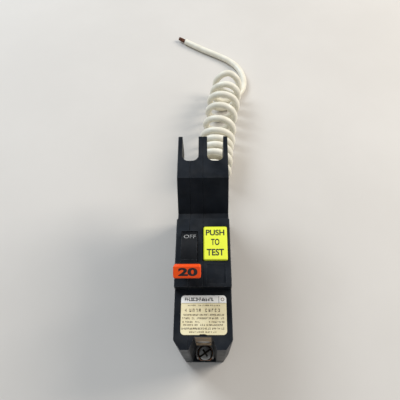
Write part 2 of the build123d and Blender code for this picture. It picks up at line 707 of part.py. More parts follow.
def armature():
    """Steel plate hung from its pin, with the ear that holds the cradle's tip."""
    left = BREAKER_MIDDLE - 3.0
    right = BREAKER_MIDDLE + 3.0
    low = ARMATURE_Y - ARMATURE_THICKNESS / 2
    y = (low, low + ARMATURE_THICKNESS)
    plate = block((left, right), y, (ARMATURE_Z - ARMATURE_LENGTH, ARMATURE_Z))
    plate += block((CRADLE_X[0], left), y, (CRADLE_TIP_Z - 5.0, CRADLE_TIP_Z + 3.0))
    plate += rod_x(SMALL_PIN_RADIUS + 0.9, ARMATURE_Y, ARMATURE_Z, left, right)
    return plate - rod_x(SMALL_PIN_RADIUS + RUNNING_CLEARANCE, ARMATURE_Y, ARMATURE_Z, left - 1, right + 1)


def armature_pin():
    return rod_x(SMALL_PIN_RADIUS, ARMATURE_Y, ARMATURE_Z, CAVITY_LEFT - PIN_SEAT, -PARTITION + PIN_SEAT)


def bimetal():
    """Two-metal strip that bends with heat, welded to its bracket."""
    x = (BREAKER_MIDDLE - BIMETAL_WIDTH / 2, BREAKER_MIDDLE + BIMETAL_WIDTH / 2)
    strip = block(x, (BIMETAL_Y - 0.4, BIMETAL_Y + 0.4), (8.0, 34.0))
    return strip + block(x, (CAVITY_LOAD + 0.1, BIMETAL_Y + 0.4), (8.0, 9.2))


def magnet_yoke():
    """U-shaped steel round the bimetal that pulls the armature on a short circuit."""
    z = (13.0, 24.0)
    left = BREAKER_MIDDLE - 4.2
    right = BREAKER_MIDDLE + 4.2
    yoke = block((left, right), (CAVITY_LOAD + 0.2, CAVITY_LOAD + 1.2), z)
    for low in (left, right - 1.0):
        yoke += block((low, low + 1.0), (CAVITY_LOAD + 1.2, CAVITY_LOAD + 3.3), z)
    return yoke


def calibration_screw():
    """Set screw in the base that trims the bimetal's bracket."""
    return rod_z(1.3, BREAKER_MIDDLE, CAVITY_LOAD + 1.4, BASE_WALL, 7.9)


def flexible_braid():
    """Copper braid from the bimetal's top to the contact arm, at rest."""
    aside = -PARTITION - BRAID_RADIUS - 0.15
    end_x = BREAKER_MIDDLE + ARM_WIDTH / 2 - BRAID_RADIUS
    points = [
        (BREAKER_MIDDLE + BIMETAL_WIDTH / 2 + 0.05, BIMETAL_Y, 32.0),
        (aside, BIMETAL_Y, 32.0),
        (aside, ARM_Y - 12.0, 27.0),
        (end_x, ARM_Y - 6.0, 19.0),
        (end_x, ARM_Y - ARM_THICKNESS / 2 - CONTACT_GAP, 19.0),
    ]
    return round_lead(BRAID_RADIUS, points, 1.1)


# ======== terminals ========
LOAD_CLAMP_Z = TERMINAL_STRAP_Z + STRAP_THICKNESS + TERMINAL_GAP
LOAD_HEAD_Z = LOAD_CLAMP_Z + CLAMP_THICKNESS + PIECE_GAP


def load_strap():
    """Threaded strap under the load screw, led back to the sensor side."""
    hole = SCREW_RADIUS + 0.05
    z = (TERMINAL_STRAP_Z, TERMINAL_STRAP_Z + STRAP_THICKNESS)
    disc = rod_z(COLLAR_INNER - 0.1, SCREW_X, SCREW_Y, *z)
    disc -= block((SCREW_X - 9, SCREW_X + 9), (SCREW_Y - 9, LOAD_END + 0.3), (z[0] - 1, z[1] + 1))
    leg = block((0.5, LOAD_STRAP_RIGHT), (SCREW_Y, CAVITY_LOAD + 3.0), z)
    return disc + leg - rod_z(hole, SCREW_X, SCREW_Y, z[0] - 1, z[1] + 1)


def load_collar():
    """Moulded ring round the load screw, open to the load end and slotted for the strap."""
    z = (CHANNEL_FLOOR, COLLAR_TOP)
    ring = rod_z(COLLAR_OUTER, SCREW_X, SCREW_Y, *z) - rod_z(COLLAR_INNER, SCREW_X, SCREW_Y, z[0] - 1, z[1] + 1)
    ring -= block((-9, 9), (SCREW_Y - 9, LOAD_END + 1.2), (z[0] - 1, z[1] + 1))
    slot_z = (TERMINAL_STRAP_Z - PIECE_GAP, TERMINAL_STRAP_Z + STRAP_THICKNESS + PIECE_GAP)
    return ring - block((0.3, LOAD_STRAP_RIGHT + 0.2), (SCREW_Y, CAVITY_LOAD), slot_z)


def load_clamp():
    """Pressure plate under the load screw's head."""
    plate = rod_z(CLAMP_RADIUS, SCREW_X, SCREW_Y, LOAD_CLAMP_Z, LOAD_CLAMP_Z + CLAMP_THICKNESS)
    plate -= block((-9, 9), (SCREW_Y - 9, LOAD_END + 0.3), (LOAD_CLAMP_Z - 1, LOAD_CLAMP_Z + 3))
    return plate - rod_z(SCREW_RADIUS + RUNNING_CLEARANCE, SCREW_X, SCREW_Y, LOAD_CLAMP_Z - 1, LOAD_CLAMP_Z + 3)


def slotted_screw(head_radius, head_height, shank_length):
    """A screw along +Z in its own frame, head above zero and shank below, with a combination slot."""
    screw = rod_z(head_radius, 0, 0, 0, head_height)
    screw = fillet(screw.faces().sort_by(Axis.Z)[-1].edges(), 0.5)
    half = SCREW_SLOT / 2
    reach = (-head_radius - 1, head_radius + 1)
    depth = (head_height - SCREW_SLOT_DEPTH, head_height + 1)
    screw -= block(reach, (-half, half), depth)
    screw -= block((-half, half), (-head_radius * 0.62, head_radius * 0.62), depth)
    return screw + rod_z(SCREW_RADIUS, 0, 0, -shank_length, 0)


def load_screw():
    shank = LOAD_HEAD_Z - CHANNEL_FLOOR - 0.5
    return Pos(SCREW_X, SCREW_Y, LOAD_HEAD_Z) * Rot(0, 0, 35) * slotted_screw(
        SCREW_HEAD_RADIUS, SCREW_HEAD_HEIGHT, shank
    )


CHANNEL_BACK = LOAD_END + CHANNEL_DEPTH
NEUTRAL_HEAD_Y = CHANNEL_BACK + 0.1 + NEUTRAL_HEAD_HEIGHT
NEUTRAL_CLAMP_Y = NEUTRAL_HEAD_Y + PIECE_GAP
NEUTRAL_CLAMP_THICKNESS = 0.7
NEUTRAL_STRAP_Y = NEUTRAL_CLAMP_Y + NEUTRAL_CLAMP_THICKNESS + PIECE_GAP
NEUTRAL_STRAP_THICKNESS = 1.0


def neutral_plate():
    """Brass guard plate at the back of the channel, round the load-neutral screw."""
    half = CHANNEL_BACK_WIDTH / 2 - 0.3
    z = (NEUTRAL_POCKET_BOTTOM + 0.1, NEUTRAL_POCKET_TOP - 0.1)
    plate = block((-half, half), (CHANNEL_BACK, CHANNEL_BACK + NEUTRAL_PLATE), z)
    return plate - rod_y(NEUTRAL_HEAD_RADIUS + 0.3, 0, NEUTRAL_Z, CHANNEL_BACK - 1, CHANNEL_BACK + 2)


def neutral_clamp():
    high = NEUTRAL_CLAMP_Y + NEUTRAL_CLAMP_THICKNESS
    washer = rod_y(NEUTRAL_HEAD_RADIUS, 0, NEUTRAL_Z, NEUTRAL_CLAMP_Y, high)
    return washer - rod_y(NEUTRAL_SHANK + RUNNING_CLEARANCE, 0, NEUTRAL_Z, NEUTRAL_CLAMP_Y - 1, high + 1)


NEUTRAL_SHANK = 1.7


def neutral_strap():
    """Threaded strap behind the load-neutral screw, led to the neutral lead."""
    half = CHANNEL_BACK_WIDTH / 2 - 0.3
    y = (NEUTRAL_STRAP_Y, NEUTRAL_STRAP_Y + NEUTRAL_STRAP_THICKNESS)
    strap = block((-half, half), y, (NEUTRAL_LEG_Z + 0.1, NEUTRAL_Z + 5.0))
    strap += block((0.5, NEUTRAL_LEG_RIGHT), (y[0], CAVITY_LOAD + 2.0), (NEUTRAL_LEG_Z + 0.1, NEUTRAL_LEG_Z + 1.1))
    return strap - rod_y(NEUTRAL_SHANK + 0.05, 0, NEUTRAL_Z, y[0] - 1, y[1] + 1)


def neutral_screw():
    """Binding screw of the load-neutral terminal, facing the load end."""
    head = rod_y(NEUTRAL_HEAD_RADIUS, 0, NEUTRAL_Z, CHANNEL_BACK + 0.1, NEUTRAL_HEAD_Y)
    head -= block((-4, 4), (CHANNEL_BACK, CHANNEL_BACK + 0.9), (NEUTRAL_Z - 0.4, NEUTRAL_Z + 0.4))
    end = CHANNEL_BACK + NEUTRAL_POCKET_DEPTH - 0.1
    return head + rod_y(NEUTRAL_SHANK, 0, NEUTRAL_Z, NEUTRAL_HEAD_Y, end)


# ======== test button ========
def test_button():
    """Push-to-test cap with its stem; its top lies along the hump."""
    y = (BUTTON_LOAD, BUTTON_LOAD + BUTTON_LENGTH)
    x = (BUTTON_CLEARANCE, BUTTON_CLEARANCE + BUTTON_WIDTH)
    outline = [
        (y[0], hump_height(y[0]) + BUTTON_PROUD - BUTTON_SKIRT),
        (y[1], hump_height(y[1]) + BUTTON_PROUD - BUTTON_SKIRT),
        (y[1], hump_height(y[1]) + BUTTON_PROUD),
        (y[0], hump_height(y[0]) + BUTTON_PROUD),
    ]
    cap = side_prism(outline, *x)
    cap = fillet(cap.edges().filter_by(Axis.Z), BUTTON_CORNER)
    cap = chamfer(cap.faces().sort_by(Axis.Z)[-1].edges(), BUTTON_BEVEL)
    return cap + rod_z(STEM_RADIUS, BUTTON_X, BUTTON_Y, BRIDGE_Z + 0.8, BUTTON_UNDERSIDE + 1)


BUTTON_UNDERSIDE = hump_height(BUTTON_Y) + BUTTON_PROUD - BUTTON_SKIRT


def button_spring():
    """Outer shape of the return spring between the shelf and the cap."""
    low = SHELF_Z + SHELF_THICKNESS
    top = BUTTON_UNDERSIDE - 0.4
    return rod_z(3.0, BUTTON_X, BUTTON_Y, low, top) - rod_z(2.3, BUTTON_X, BUTTON_Y, low - 1, top + 1)


def test_bridge():
    """Brass disc on the stem that joins the two test contacts."""
    return rod_z(2.4, BUTTON_X, BUTTON_Y, BRIDGE_Z, BRIDGE_Z + 0.8)


BLADE_TOP = BRIDGE_Z - BUTTON_TRAVEL - 0.25


def test_contacts():
    """Two contact blades on their block, beside the circuit board."""
    blades = []
    for side in (-1, 1):
        x = BUTTON_X + side * 1.6
        blades.append(block((x - 0.7, x + 0.7), (BUTTON_Y - 2.4, BUTTON_Y + 6.0), (BLADE_TOP - 0.5, BLADE_TOP)))
    return blades


def test_contact_block():
    y = (BUTTON_Y + 3.0, BUTTON_Y + 7.0)
    return block((BUTTON_X - 2.8, BOARD_FACE), y, (BOARD_TOP - 4.0, BLADE_TOP - 0.5))


# ======== ground-fault trip ========
SOLENOID_END = SOLENOID_START + SOLENOID_LENGTH


def solenoid_frame():
    """Steel bracket round the coil."""
    x = (GFCI_MIDDLE - SOLENOID_RADIUS, GFCI_MIDDLE + SOLENOID_RADIUS)
    top = SOLENOID_Z + SOLENOID_RADIUS + 0.2
    z = (SOLENOID_Z - SOLENOID_RADIUS, top)
    frame = block(x, (SOLENOID_START, SOLENOID_START + FRAME_METAL), z)
    frame += block(x, (SOLENOID_END - FRAME_METAL, SOLENOID_END), z)
    frame += block(x, (SOLENOID_START, SOLENOID_END), (top, top + FRAME_METAL))
    hole = PLUNGER_RADIUS + 0.1
    return frame - rod_y(hole, GFCI_MIDDLE, SOLENOID_Z, SOLENOID_START - 1, SOLENOID_START + FRAME_METAL + 1)


def solenoid_bobbin():
    """Flanged former between the frame's cheeks."""
    low = SOLENOID_START + FRAME_METAL + 0.05
    high = SOLENOID_END - FRAME_METAL - 0.05
    flange = SOLENOID_RADIUS - 0.1
    bobbin = rod_y(2.8, GFCI_MIDDLE, SOLENOID_Z, low, high)
    bobbin += rod_y(flange, GFCI_MIDDLE, SOLENOID_Z, low, low + 0.8)
    bobbin += rod_y(flange, GFCI_MIDDLE, SOLENOID_Z, high - 0.8, high)
    return bobbin - rod_y(PLUNGER_RADIUS + 0.1, GFCI_MIDDLE, SOLENOID_Z, low - 1, high + 1)


def solenoid_coil():
    low = SOLENOID_START + FRAME_METAL + 0.95
    high = SOLENOID_END - FRAME_METAL - 0.95
    winding = rod_y(SOLENOID_RADIUS - 0.3, GFCI_MIDDLE, SOLENOID_Z, low, high)
    return winding - rod_y(2.9, GFCI_MIDDLE, SOLENOID_Z, low - 1, high + 1)


GROOVE = (LEVER_Y - LEVER_THICKNESS / 2 - GROOVE_CLEARANCE, LEVER_Y + LEVER_THICKNESS / 2 + GROOVE_CLEARANCE)


def solenoid_plunger():
    """Steel rod with a groove that the lever's fork rides in."""
    rod = rod_y(PLUNGER_RADIUS, GFCI_MIDDLE, SOLENOID_Z, CAVITY_LOAD + 0.2, SOLENOID_END - 6.0)
    groove = rod_y(PLUNGER_RADIUS + 1, GFCI_MIDDLE, SOLENOID_Z, *GROOVE)
    groove -= rod_y(0.9, GFCI_MIDDLE, SOLENOID_Z, GROOVE[0] - 1, GROOVE[1] + 1)
    return rod - groove


def trip_lever():
    """Lever from the plunger down to the finger that pushes the armature."""
    low = LEVER_Y - LEVER_THICKNESS / 2
    y = (low, low + LEVER_THICKNESS)
    x = (GFCI_MIDDLE - 2.5, GFCI_MIDDLE + 2.5)
    lever = block(x, y, (28.0, SOLENOID_Z + 1.2))
    lever -= block((GFCI_MIDDLE - 1.15, GFCI_MIDDLE + 1.15), (y[0] - 1, y[1] + 1), (SOLENOID_Z - 1.5, 60))
    lever += rod_x(1.9, LEVER_Y, LEVER_Z, *x)
    finger_y = (ARMATURE_Y + 1.1, ARMATURE_Y + 2.3)
    lever += block((x[0], x[0] + 1.2), (low, finger_y[1]), (27.0, 28.4))
    lever += block((BREAKER_MIDDLE - 1.5, x[0] + 1.2), finger_y, (27.0, 28.4))
    return lever - rod_x(SMALL_PIN_RADIUS + RUNNING_CLEARANCE, LEVER_Y, LEVER_Z, x[0] - 1, x[1] + 1)


def trip_lever_pin():
    return rod_x(SMALL_PIN_RADIUS, LEVER_Y, LEVER_Z, -PIN_SEAT, CAVITY_RIGHT + PIN_SEAT)


# ======== circuit board and sensor ========
def circuit_board():
    return block((BOARD_FACE, BOARD_FACE + BOARD_THICKNESS), (BOARD_LOAD, BOARD_LINE), (BOARD_BOTTOM, BOARD_TOP))


def surge_varistor():
    return rod_x(4.6, BOARD_LOAD + 7.0, BOARD_BOTTOM + 6.5, BOARD_FACE - 3.2, BOARD_FACE)


def sense_chip():
    return block((BOARD_FACE - 2.2, BOARD_FACE), (-13.0, -4.0), (10.0, 16.0))


def thyristor():
    return block((BOARD_FACE - 4.4, BOARD_FACE), (BOARD_LOAD + 3.0, BOARD_LOAD + 7.0), (21.0, 26.0))


def board_capacitors():
    """An electrolytic can and a film block."""
    can = rod_x(3.0, 3.5, 13.0, BOARD_FACE - 6.5, BOARD_FACE)
    film = block((BOARD_FACE - 5.0, BOARD_FACE), (-14.0, -7.0), (19.0, 25.0))
    return [can, film]


def board_resistors():
    """Three small resistors lying on the board."""
    x = BOARD_FACE - 1.2
    return [rod_z(1.2, x, y, 18.0, 26.0) for y in (-3.0, 0.5, 4.0)]


def sensor_ring(inner, outer, length):
    """A ring about the sensor's axis."""
    low = SENSOR_Y - length / 2
    ring = rod_y(outer, GFCI_MIDDLE, EXIT_Z, low, low + length)
    return ring - rod_y(inner, GFCI_MIDDLE, EXIT_Z, low - 1, low + length + 1)


def sensor_core():
    return sensor_ring(SENSOR_INNER + 0.9, SENSOR_OUTER - 0.8, SENSOR_LENGTH - 1.6)


def sensor_winding():
    """Wound and potted jacket that wraps the core on every side."""
    jacket = sensor_ring(SENSOR_INNER, SENSOR_OUTER, SENSOR_LENGTH)
    return jacket - sensor_ring(SENSOR_INNER + 0.9, SENSOR_OUTER - 0.8, SENSOR_LENGTH - 1.6)


def round_lead(radius, points, bend):
    """An insulated wire of straight runs and round bends."""
    path = FilletPolyline(*points, radius=bend)
    start = Plane(origin=path @ 0, z_dir=path % 0)
    return sweep(start * Circle(radius), path=path)


def neutral_lead():
    """Neutral conductor from the pigtail, through the sensor, along the floor to its strap."""
    right = GFCI_MIDDLE + LEAD_SPREAD
    side = CAVITY_RIGHT - 1.8
    column = CAVITY_LOAD + 1.4
    points = [
        (EXIT_X, CAVITY_LINE - 0.2, EXIT_Z),
        (EXIT_X, CAVITY_LINE - 2.6, EXIT_Z),
        (right, SENSOR_Y + 5.2, EXIT_Z),
        (right, SENSOR_Y - 7.0, EXIT_Z),
        (right, SENSOR_Y - 13.5, LEAD_FLOOR),
        (side, CAVITY_LOAD + 12.0, LEAD_FLOOR),
        (side, column, LEAD_FLOOR),
        (side, column, NEUTRAL_LEG_Z + 0.6),
        (NEUTRAL_LEG_RIGHT + 0.1, column, NEUTRAL_LEG_Z + 0.6),
    ]
    return round_lead(LEAD_RADIUS, points, 1.5)


def hot_lead():
    """Hot conductor from the breaker half, through the sensor, along the floor to the load strap."""
    left = GFCI_MIDDLE - LEAD_SPREAD
    points = [
        (-PARTITION + 0.2, *HOT_CROSSING),
        (left, *HOT_CROSSING),
        (left, SENSOR_Y + 3.8, EXIT_Z),
        (left, SENSOR_Y - 7.0, EXIT_Z),
        (left, SENSOR_Y - 13.5, LEAD_FLOOR),
        (2.6, CAVITY_LOAD + 9.0, LEAD_FLOOR),
        (2.0, CAVITY_LOAD + 3.5, TERMINAL_STRAP_Z + 0.6),
    ]
    return round_lead(LEAD_RADIUS, points, 1.1)


# ======== pigtail ========
def pigtail_bushing():
    """Tapered bushing in the line wall that the pigtail comes out of."""
    neck = rod_y(BUSHING_RADIUS - 0.85, EXIT_X, EXIT_Z, CAVITY_LINE, BODY_END)
    flange = Pos(EXIT_X, BODY_END + BUSHING_LENGTH / 2, EXIT_Z) * Rot(-90, 0, 0) * Cone(
        BUSHING_RADIUS, WIRE_RADIUS + 0.35, BUSHING_LENGTH
    )
    return neck + flange - rod_y(WIRE_RADIUS - 0.3, EXIT_X, EXIT_Z, CAVITY_LINE - 1, BODY_END + 2.0)


def bend_radii(points):
    """For each corner, the largest arc that its two runs allow."""
    radii = []
    for before, corner, after in zip(points, points[1:], points[2:]):
        first = Vector(*corner) - Vector(*before)
        second = Vector(*after) - Vector(*corner)
        half_turn = math.radians(first.get_angle(second)) / 2
        radii.append(0.45 * min(first.length, second.length) / math.tan(half_turn))
    return radii


def pigtail_tube(name, points):
    """A free stretch of the pigtail as straight runs and tangent arcs."""
    radii = bend_radii(points)
    path = FilletPolyline(*points, radius=radii)
    start = Plane(origin=path @ 0, z_dir=path % 0)
    tube = sweep(start * Circle(WIRE_RADIUS), path=path)
    expected = math.pi * WIRE_RADIUS**2 * path.length
    print(name, "radii", [round(r, 1) for r in radii], "length", round(path.length, 1))
    print(name, "volume", round(tube.volume), "expected", round(expected))
    return tube


def pigtail_coil():
    """Outer shape of the coiled stretch, one round bar lying on the floor."""
    near = Vector(*COIL_NEAR)
    far = Vector(*COIL_FAR)
    base = Plane(origin=near, z_dir=far - near)
    return extrude(base * Circle(COIL_RADIUS), amount=(far - near).length)


def pigtail_bare_end():
    """Stripped copper at the tail's free end."""
    last = Vector(*TAIL_ROUTE[-1])
    heading = last - Vector(*TAIL_ROUTE[-2])
    return extrude(Plane(origin=last, z_dir=heading) * Circle(COPPER_RADIUS), amount=BARE_LENGTH)


# ======== joints: a point on the axis, the direction, and the travel in millimetres or degrees ========
JOINTS = {
    "handle_throw": ((BREAKER_MIDDLE, PIVOT_Y, PIVOT_Z), (-1, 0, 0), HANDLE_THROW),
    "arm_close": ((BREAKER_MIDDLE, ARM_Y, ARM_Z), (1, 0, 0), ARM_THROW),
    "plunger_pull": ((GFCI_MIDDLE, LEVER_Y, SOLENOID_Z), (0, 1, 0), PLUNGER_STROKE),
    "trip_lever_tilt": ((GFCI_MIDDLE, LEVER_Y, LEVER_Z), (-1, 0, 0), LEVER_TILT),
    "armature_pull": ((BREAKER_MIDDLE, ARMATURE_Y, ARMATURE_Z), (-1, 0, 0), ARMATURE_PULL),
    "cradle_trip": ((CRADLE_X[0], CRADLE_Y, CRADLE_Z), (1, 0, 0), CRADLE_TRIP),
    "button_press": ((BUTTON_X, BUTTON_Y, SHELF_Z), (0, 0, -1), BUTTON_TRAVEL),
    "load_clamp_travel": ((SCREW_X, SCREW_Y, LOAD_CLAMP_Z), (0, 0, 1), SCREW_PITCH * SCREW_TURNS),
    "load_screw_turn": ((SCREW_X, SCREW_Y, LOAD_HEAD_Z), (0, 0, 1), 360 * SCREW_TURNS),
    "neutral_clamp_travel": ((0, NEUTRAL_CLAMP_Y, NEUTRAL_Z), (0, -1, 0), SCREW_PITCH * SCREW_TURNS),
    "neutral_screw_turn": ((0, NEUTRAL_HEAD_Y, NEUTRAL_Z), (0, -1, 0), 360 * SCREW_TURNS),
}
for joint, (point, direction, travel) in JOINTS.items():
    print(joint, [round(value, 3) for value in point], direction, round(travel, 3))


# ======== write the pieces ========
NODES = {
    "left_shell": left_shell,
    "mid_shell": mid_shell,
    "gfci_shell": gfci_shell,
    "case_rivets": case_rivets,
    "rating_label": rating_label,
    "handle": handle,
    "handle_tip": handle_tip,
    "handle_pin": handle_pin,
    "contact_arm": contact_arm,
    "arm_pin": arm_pin,
    "moving_contact": moving_contact,
    "fixed_contact": fixed_contact,
    "line_strap": line_strap,
    "line_jaw": line_jaw,
    "arc_plates": arc_plates,
    "arc_chute_sides": arc_chute_sides,
    "toggle_spring": toggle_spring,
    "cradle": cradle,
    "cradle_pin": cradle_pin,
    "armature": armature,
    "armature_pin": armature_pin,
    "bimetal": bimetal,
    "magnet_yoke": magnet_yoke,
    "calibration_screw": calibration_screw,
    "flexible_braid": flexible_braid,
    "load_strap": load_strap,
    "load_collar": load_collar,
    "load_clamp": load_clamp,
    "load_screw": load_screw,
    "neutral_plate": neutral_plate,
    "neutral_clamp": neutral_clamp,
    "neutral_strap": neutral_strap,
    "neutral_screw": neutral_screw,
    "test_button": test_button,
    "button_spring": button_spring,
    "test_bridge": test_bridge,
    "test_contacts": test_contacts,
    "test_contact_block": test_contact_block,
    "solenoid_frame": solenoid_frame,
    "solenoid_bobbin": solenoid_bobbin,
    "solenoid_coil": solenoid_coil,
    "solenoid_plunger": solenoid_plunger,
    "trip_lever": trip_lever,
    "trip_lever_pin": trip_lever_pin,
    "circuit_board": circuit_board,
    "surge_varistor": surge_varistor,
    "sense_chip": sense_chip,
    "thyristor": thyristor,
    "board_capacitors": board_capacitors,
    "board_resistors": board_resistors,
    "sensor_core": sensor_core,
    "sensor_winding": sensor_winding,
    "neutral_lead": neutral_lead,
    "hot_lead": hot_lead,
    "pigtail_bushing": pigtail_bushing,
    "pigtail_lead": lambda: pigtail_tube("pigtail_lead", LEAD_ROUTE),
    "pigtail_coil": pigtail_coil,
    "pigtail_tail": lambda: pigtail_tube("pigtail_tail", TAIL_ROUTE),
    "pigtail_bare_end": pigtail_bare_end,
}

os.makedirs("parts", exist_ok=True)
for name, make in NODES.items():
    made = make()
    solids = made if isinstance(made, list) else [made]
    shape = Compound(children=[s for piece in solids for s in piece.solids()])
    export_step(shape, f"parts/{name}.step")
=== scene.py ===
# %% [markdown]
# # A plug-on ground-fault breaker with a coiled pigtail
# The breaker is a one-inch block of black phenolic, moulded in three shells. A toggle handle and a
# yellow test button stand out of its front, a label and a screw terminal sit at its load end, and a
# white pigtail leaves its line end. The solid model is already packed as a fixed frame. This
# notebook gives it its finishes and makes the pieces that a solid model can't show well: the wound
# wire, the springs, the printed marks and the label.

# %% Load the fixed frame
import json
import math

import bpy
import numpy as np
from mathutils import Matrix, Vector


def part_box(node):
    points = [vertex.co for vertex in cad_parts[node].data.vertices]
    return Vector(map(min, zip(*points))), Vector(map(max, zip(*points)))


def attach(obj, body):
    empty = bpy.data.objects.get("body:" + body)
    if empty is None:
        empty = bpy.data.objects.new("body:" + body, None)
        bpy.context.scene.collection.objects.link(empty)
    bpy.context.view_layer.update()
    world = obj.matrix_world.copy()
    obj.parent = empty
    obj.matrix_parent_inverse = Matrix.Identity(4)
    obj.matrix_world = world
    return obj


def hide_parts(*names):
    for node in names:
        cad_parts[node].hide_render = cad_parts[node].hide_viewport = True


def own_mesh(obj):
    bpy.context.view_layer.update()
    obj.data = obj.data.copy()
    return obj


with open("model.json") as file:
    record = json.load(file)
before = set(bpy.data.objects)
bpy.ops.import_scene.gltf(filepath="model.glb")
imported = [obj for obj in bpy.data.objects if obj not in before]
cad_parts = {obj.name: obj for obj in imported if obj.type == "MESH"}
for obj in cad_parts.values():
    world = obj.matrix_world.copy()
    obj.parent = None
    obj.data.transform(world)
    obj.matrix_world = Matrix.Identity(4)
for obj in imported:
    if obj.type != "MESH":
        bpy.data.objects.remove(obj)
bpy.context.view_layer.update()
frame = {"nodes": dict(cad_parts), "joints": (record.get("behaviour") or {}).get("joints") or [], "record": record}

MM = 0.001
joint_at = {joint["name"]: joint for joint in frame["joints"]}

# %% [markdown]
# ## The camera
# The breaker lies on its back and is seen from above its load end. A camera matrix has three axis
# columns: right, up and backwards. They are built from the angle down, the angle sideways and a
# small roll, which is easier to read than three Euler angles.

# %% Camera
LOOK_DOWN = math.radians(61.72)
LOOK_SIDE = math.radians(-2.98)
ROLL = math.radians(-3.07)
CAMERA_PLACE = Vector((3.2, -71.7, 221.0)) * MM
LENS = 34.7


def camera_matrix(place):
    """Columns right, up and minus forward, with right and up turned by the roll."""
    forward = Vector((
        math.sin(LOOK_SIDE) * math.cos(LOOK_DOWN),
        math.cos(LOOK_SIDE) * math.cos(LOOK_DOWN),
        -math.sin(LOOK_DOWN),
    ))
    level = Vector((math.cos(LOOK_SIDE), -math.sin(LOOK_SIDE), 0))
    above = level.cross(forward)
    right = math.cos(ROLL) * level + math.sin(ROLL) * above
    up = math.cos(ROLL) * above - math.sin(ROLL) * level
    turn = Matrix((right, up, -forward)).transposed()
    return Matrix.Translation(place) @ turn.to_4x4()


camera_data = bpy.data.cameras.new("studio_camera")
camera_data.lens = LENS
camera_data.clip_start = 0.01
camera = bpy.data.objects.new("studio_camera", camera_data)
camera.matrix_world = camera_matrix(CAMERA_PLACE)
bpy.context.scene.collection.objects.link(camera)
bpy.context.scene.camera = camera
print("camera at", tuple(round(value, 4) for value in CAMERA_PLACE), "lens", LENS)

# %% [markdown]
# ## The pigtail
# The pigtail is one stiff white wire, so it is one open spline. It leaves its bushing, drops to the
# table, winds ten loose turns and ends in a free tail. A swept mesh would look the same, but a curve
# keeps the wire's middle line. The straight stretches are a few listed points. The turns are worked
# out: a point goes round the coil's axis while the axis moves on by the gap to the next turn, and
# each gap is its own number, because a coil that has been handled is never even.

# %% The pigtail's measures, in millimetres apart from the radius
WIRE_RADIUS = 2.2 * MM
LINE_HEIGHT = 2.25
LEAD_POINTS = [(6.35, 36.0, 17.0), (6.35, 45.0, 17.0), (6.3, 53.8, 12.4), (5.0, 59.6, 5.0)]
TAIL_POINTS = [
    (23.6, 133.4, LINE_HEIGHT),
    (29.4, 140.6, LINE_HEIGHT),
    (30.6, 151.8, LINE_HEIGHT),
    (27.0, 163.2, LINE_HEIGHT),
    (19.4, 171.8, LINE_HEIGHT),
    (9.6, 178.4, LINE_HEIGHT),
    (-2.4, 185.4, LINE_HEIGHT),
    (-15.3, 194.6, LINE_HEIGHT),
]
FIRST_TOP = 62.1
TURN_GAPS = (8.1, 6.1, 4.7, 5.3, 10.4, 11.7, 9.1, 10.3, 12.2)
LAST_LOW_STEP = 1.2      # from the last top but one to the low after it
START_STEP = 1.8         # from the coil's first point to its first top
END_STEP = -4.8          # from the last top to the coil's last point
COIL_START_X, COIL_START_Y = 6.2, 60.5
COIL_END_X, COIL_END_Y = 17.6, 141.0
COIL_SLANT = (COIL_END_X - COIL_START_X) / (COIL_END_Y - COIL_START_Y)
TURN_RADIUS = 9.1
TURN_WOBBLE, WOBBLE_RATE = 0.3, 1.9
MIDDLE_SWELL = 0.7
MIDDLE_BOW = 1.1
POINTS_PER_TURN = 16
START_SHARE = -0.2       # shares of a turn, where a quarter is the first top
TURNS_CUT = 0.13
print("gaps between turns, least and most", min(TURN_GAPS), max(TURN_GAPS))


# %% Turns of the coil
def coil_points():
    """For a share s of a turn: y runs through the turns' tops and the lows between them, the axis's
    x follows y along the slant with a small bow, and the point is the axis point plus the turn's
    radius times (cos a, 0, sin a), where a is 2 pi s. The axis is one radius above the line of the
    lying wire, which keeps every turn on the table. The radius swells towards the middle."""
    tops = FIRST_TOP + np.concatenate(([0], np.cumsum(TURN_GAPS)))
    lows = (tops[1:] + tops[:-1]) / 2
    lows[-1] = tops[-2] + LAST_LOW_STEP
    count = len(tops)
    ends = [-0.25, count - 0.25]
    knots = np.concatenate((np.arange(count) + 0.25, np.arange(count - 1) + 0.75, ends))
    places = np.concatenate((tops, lows, [FIRST_TOP - START_STEP, tops[-1] + END_STEP]))
    order = np.argsort(knots)
    steps = int(POINTS_PER_TURN * (count - TURNS_CUT))
    share = START_SHARE + np.arange(steps) / POINTS_PER_TURN
    angle = 2 * math.pi * share
    y = np.interp(share, knots[order], places[order])
    middle = np.sin(math.pi * (y - COIL_START_Y) / (tops[-1] - COIL_START_Y))
    radius = TURN_RADIUS + TURN_WOBBLE * np.sin(WOBBLE_RATE * share) + MIDDLE_SWELL * middle
    x = COIL_START_X + COIL_SLANT * (y - COIL_START_Y) - MIDDLE_BOW * middle
    z = LINE_HEIGHT + radius + radius * np.sin(angle)
    return np.stack((x + radius * np.cos(angle), y, z), -1)


pigtail_route = np.concatenate((LEAD_POINTS, coil_points(), TAIL_POINTS)) * MM
print("pigtail route points", len(pigtail_route))


# %% The pigtail's spline
def open_spline(name, route, radius):
    """A NURBS curve of order three through its first and last point, with a round section. The
    section is one metre and each point's radius scales it, because the curve's box is padded by
    the points' radius."""
    curve = bpy.data.curves.new(name, "CURVE")
    curve.dimensions = "3D"
    spline = curve.splines.new("NURBS")
    spline.points.add(len(route) - 1)
    spline.points.foreach_set("co", np.column_stack((route, np.ones(len(route)))).ravel())
    spline.points.foreach_set("radius", np.full(len(route), radius))
    spline.order_u = 3
    spline.use_endpoint_u = True
    spline.resolution_u = 5
    curve.bevel_depth = 1.0
    curve.bevel_resolution = 5
    curve.use_fill_caps = True
    piece = bpy.data.objects.new(name, curve)
    bpy.context.scene.collection.objects.link(piece)
    return piece


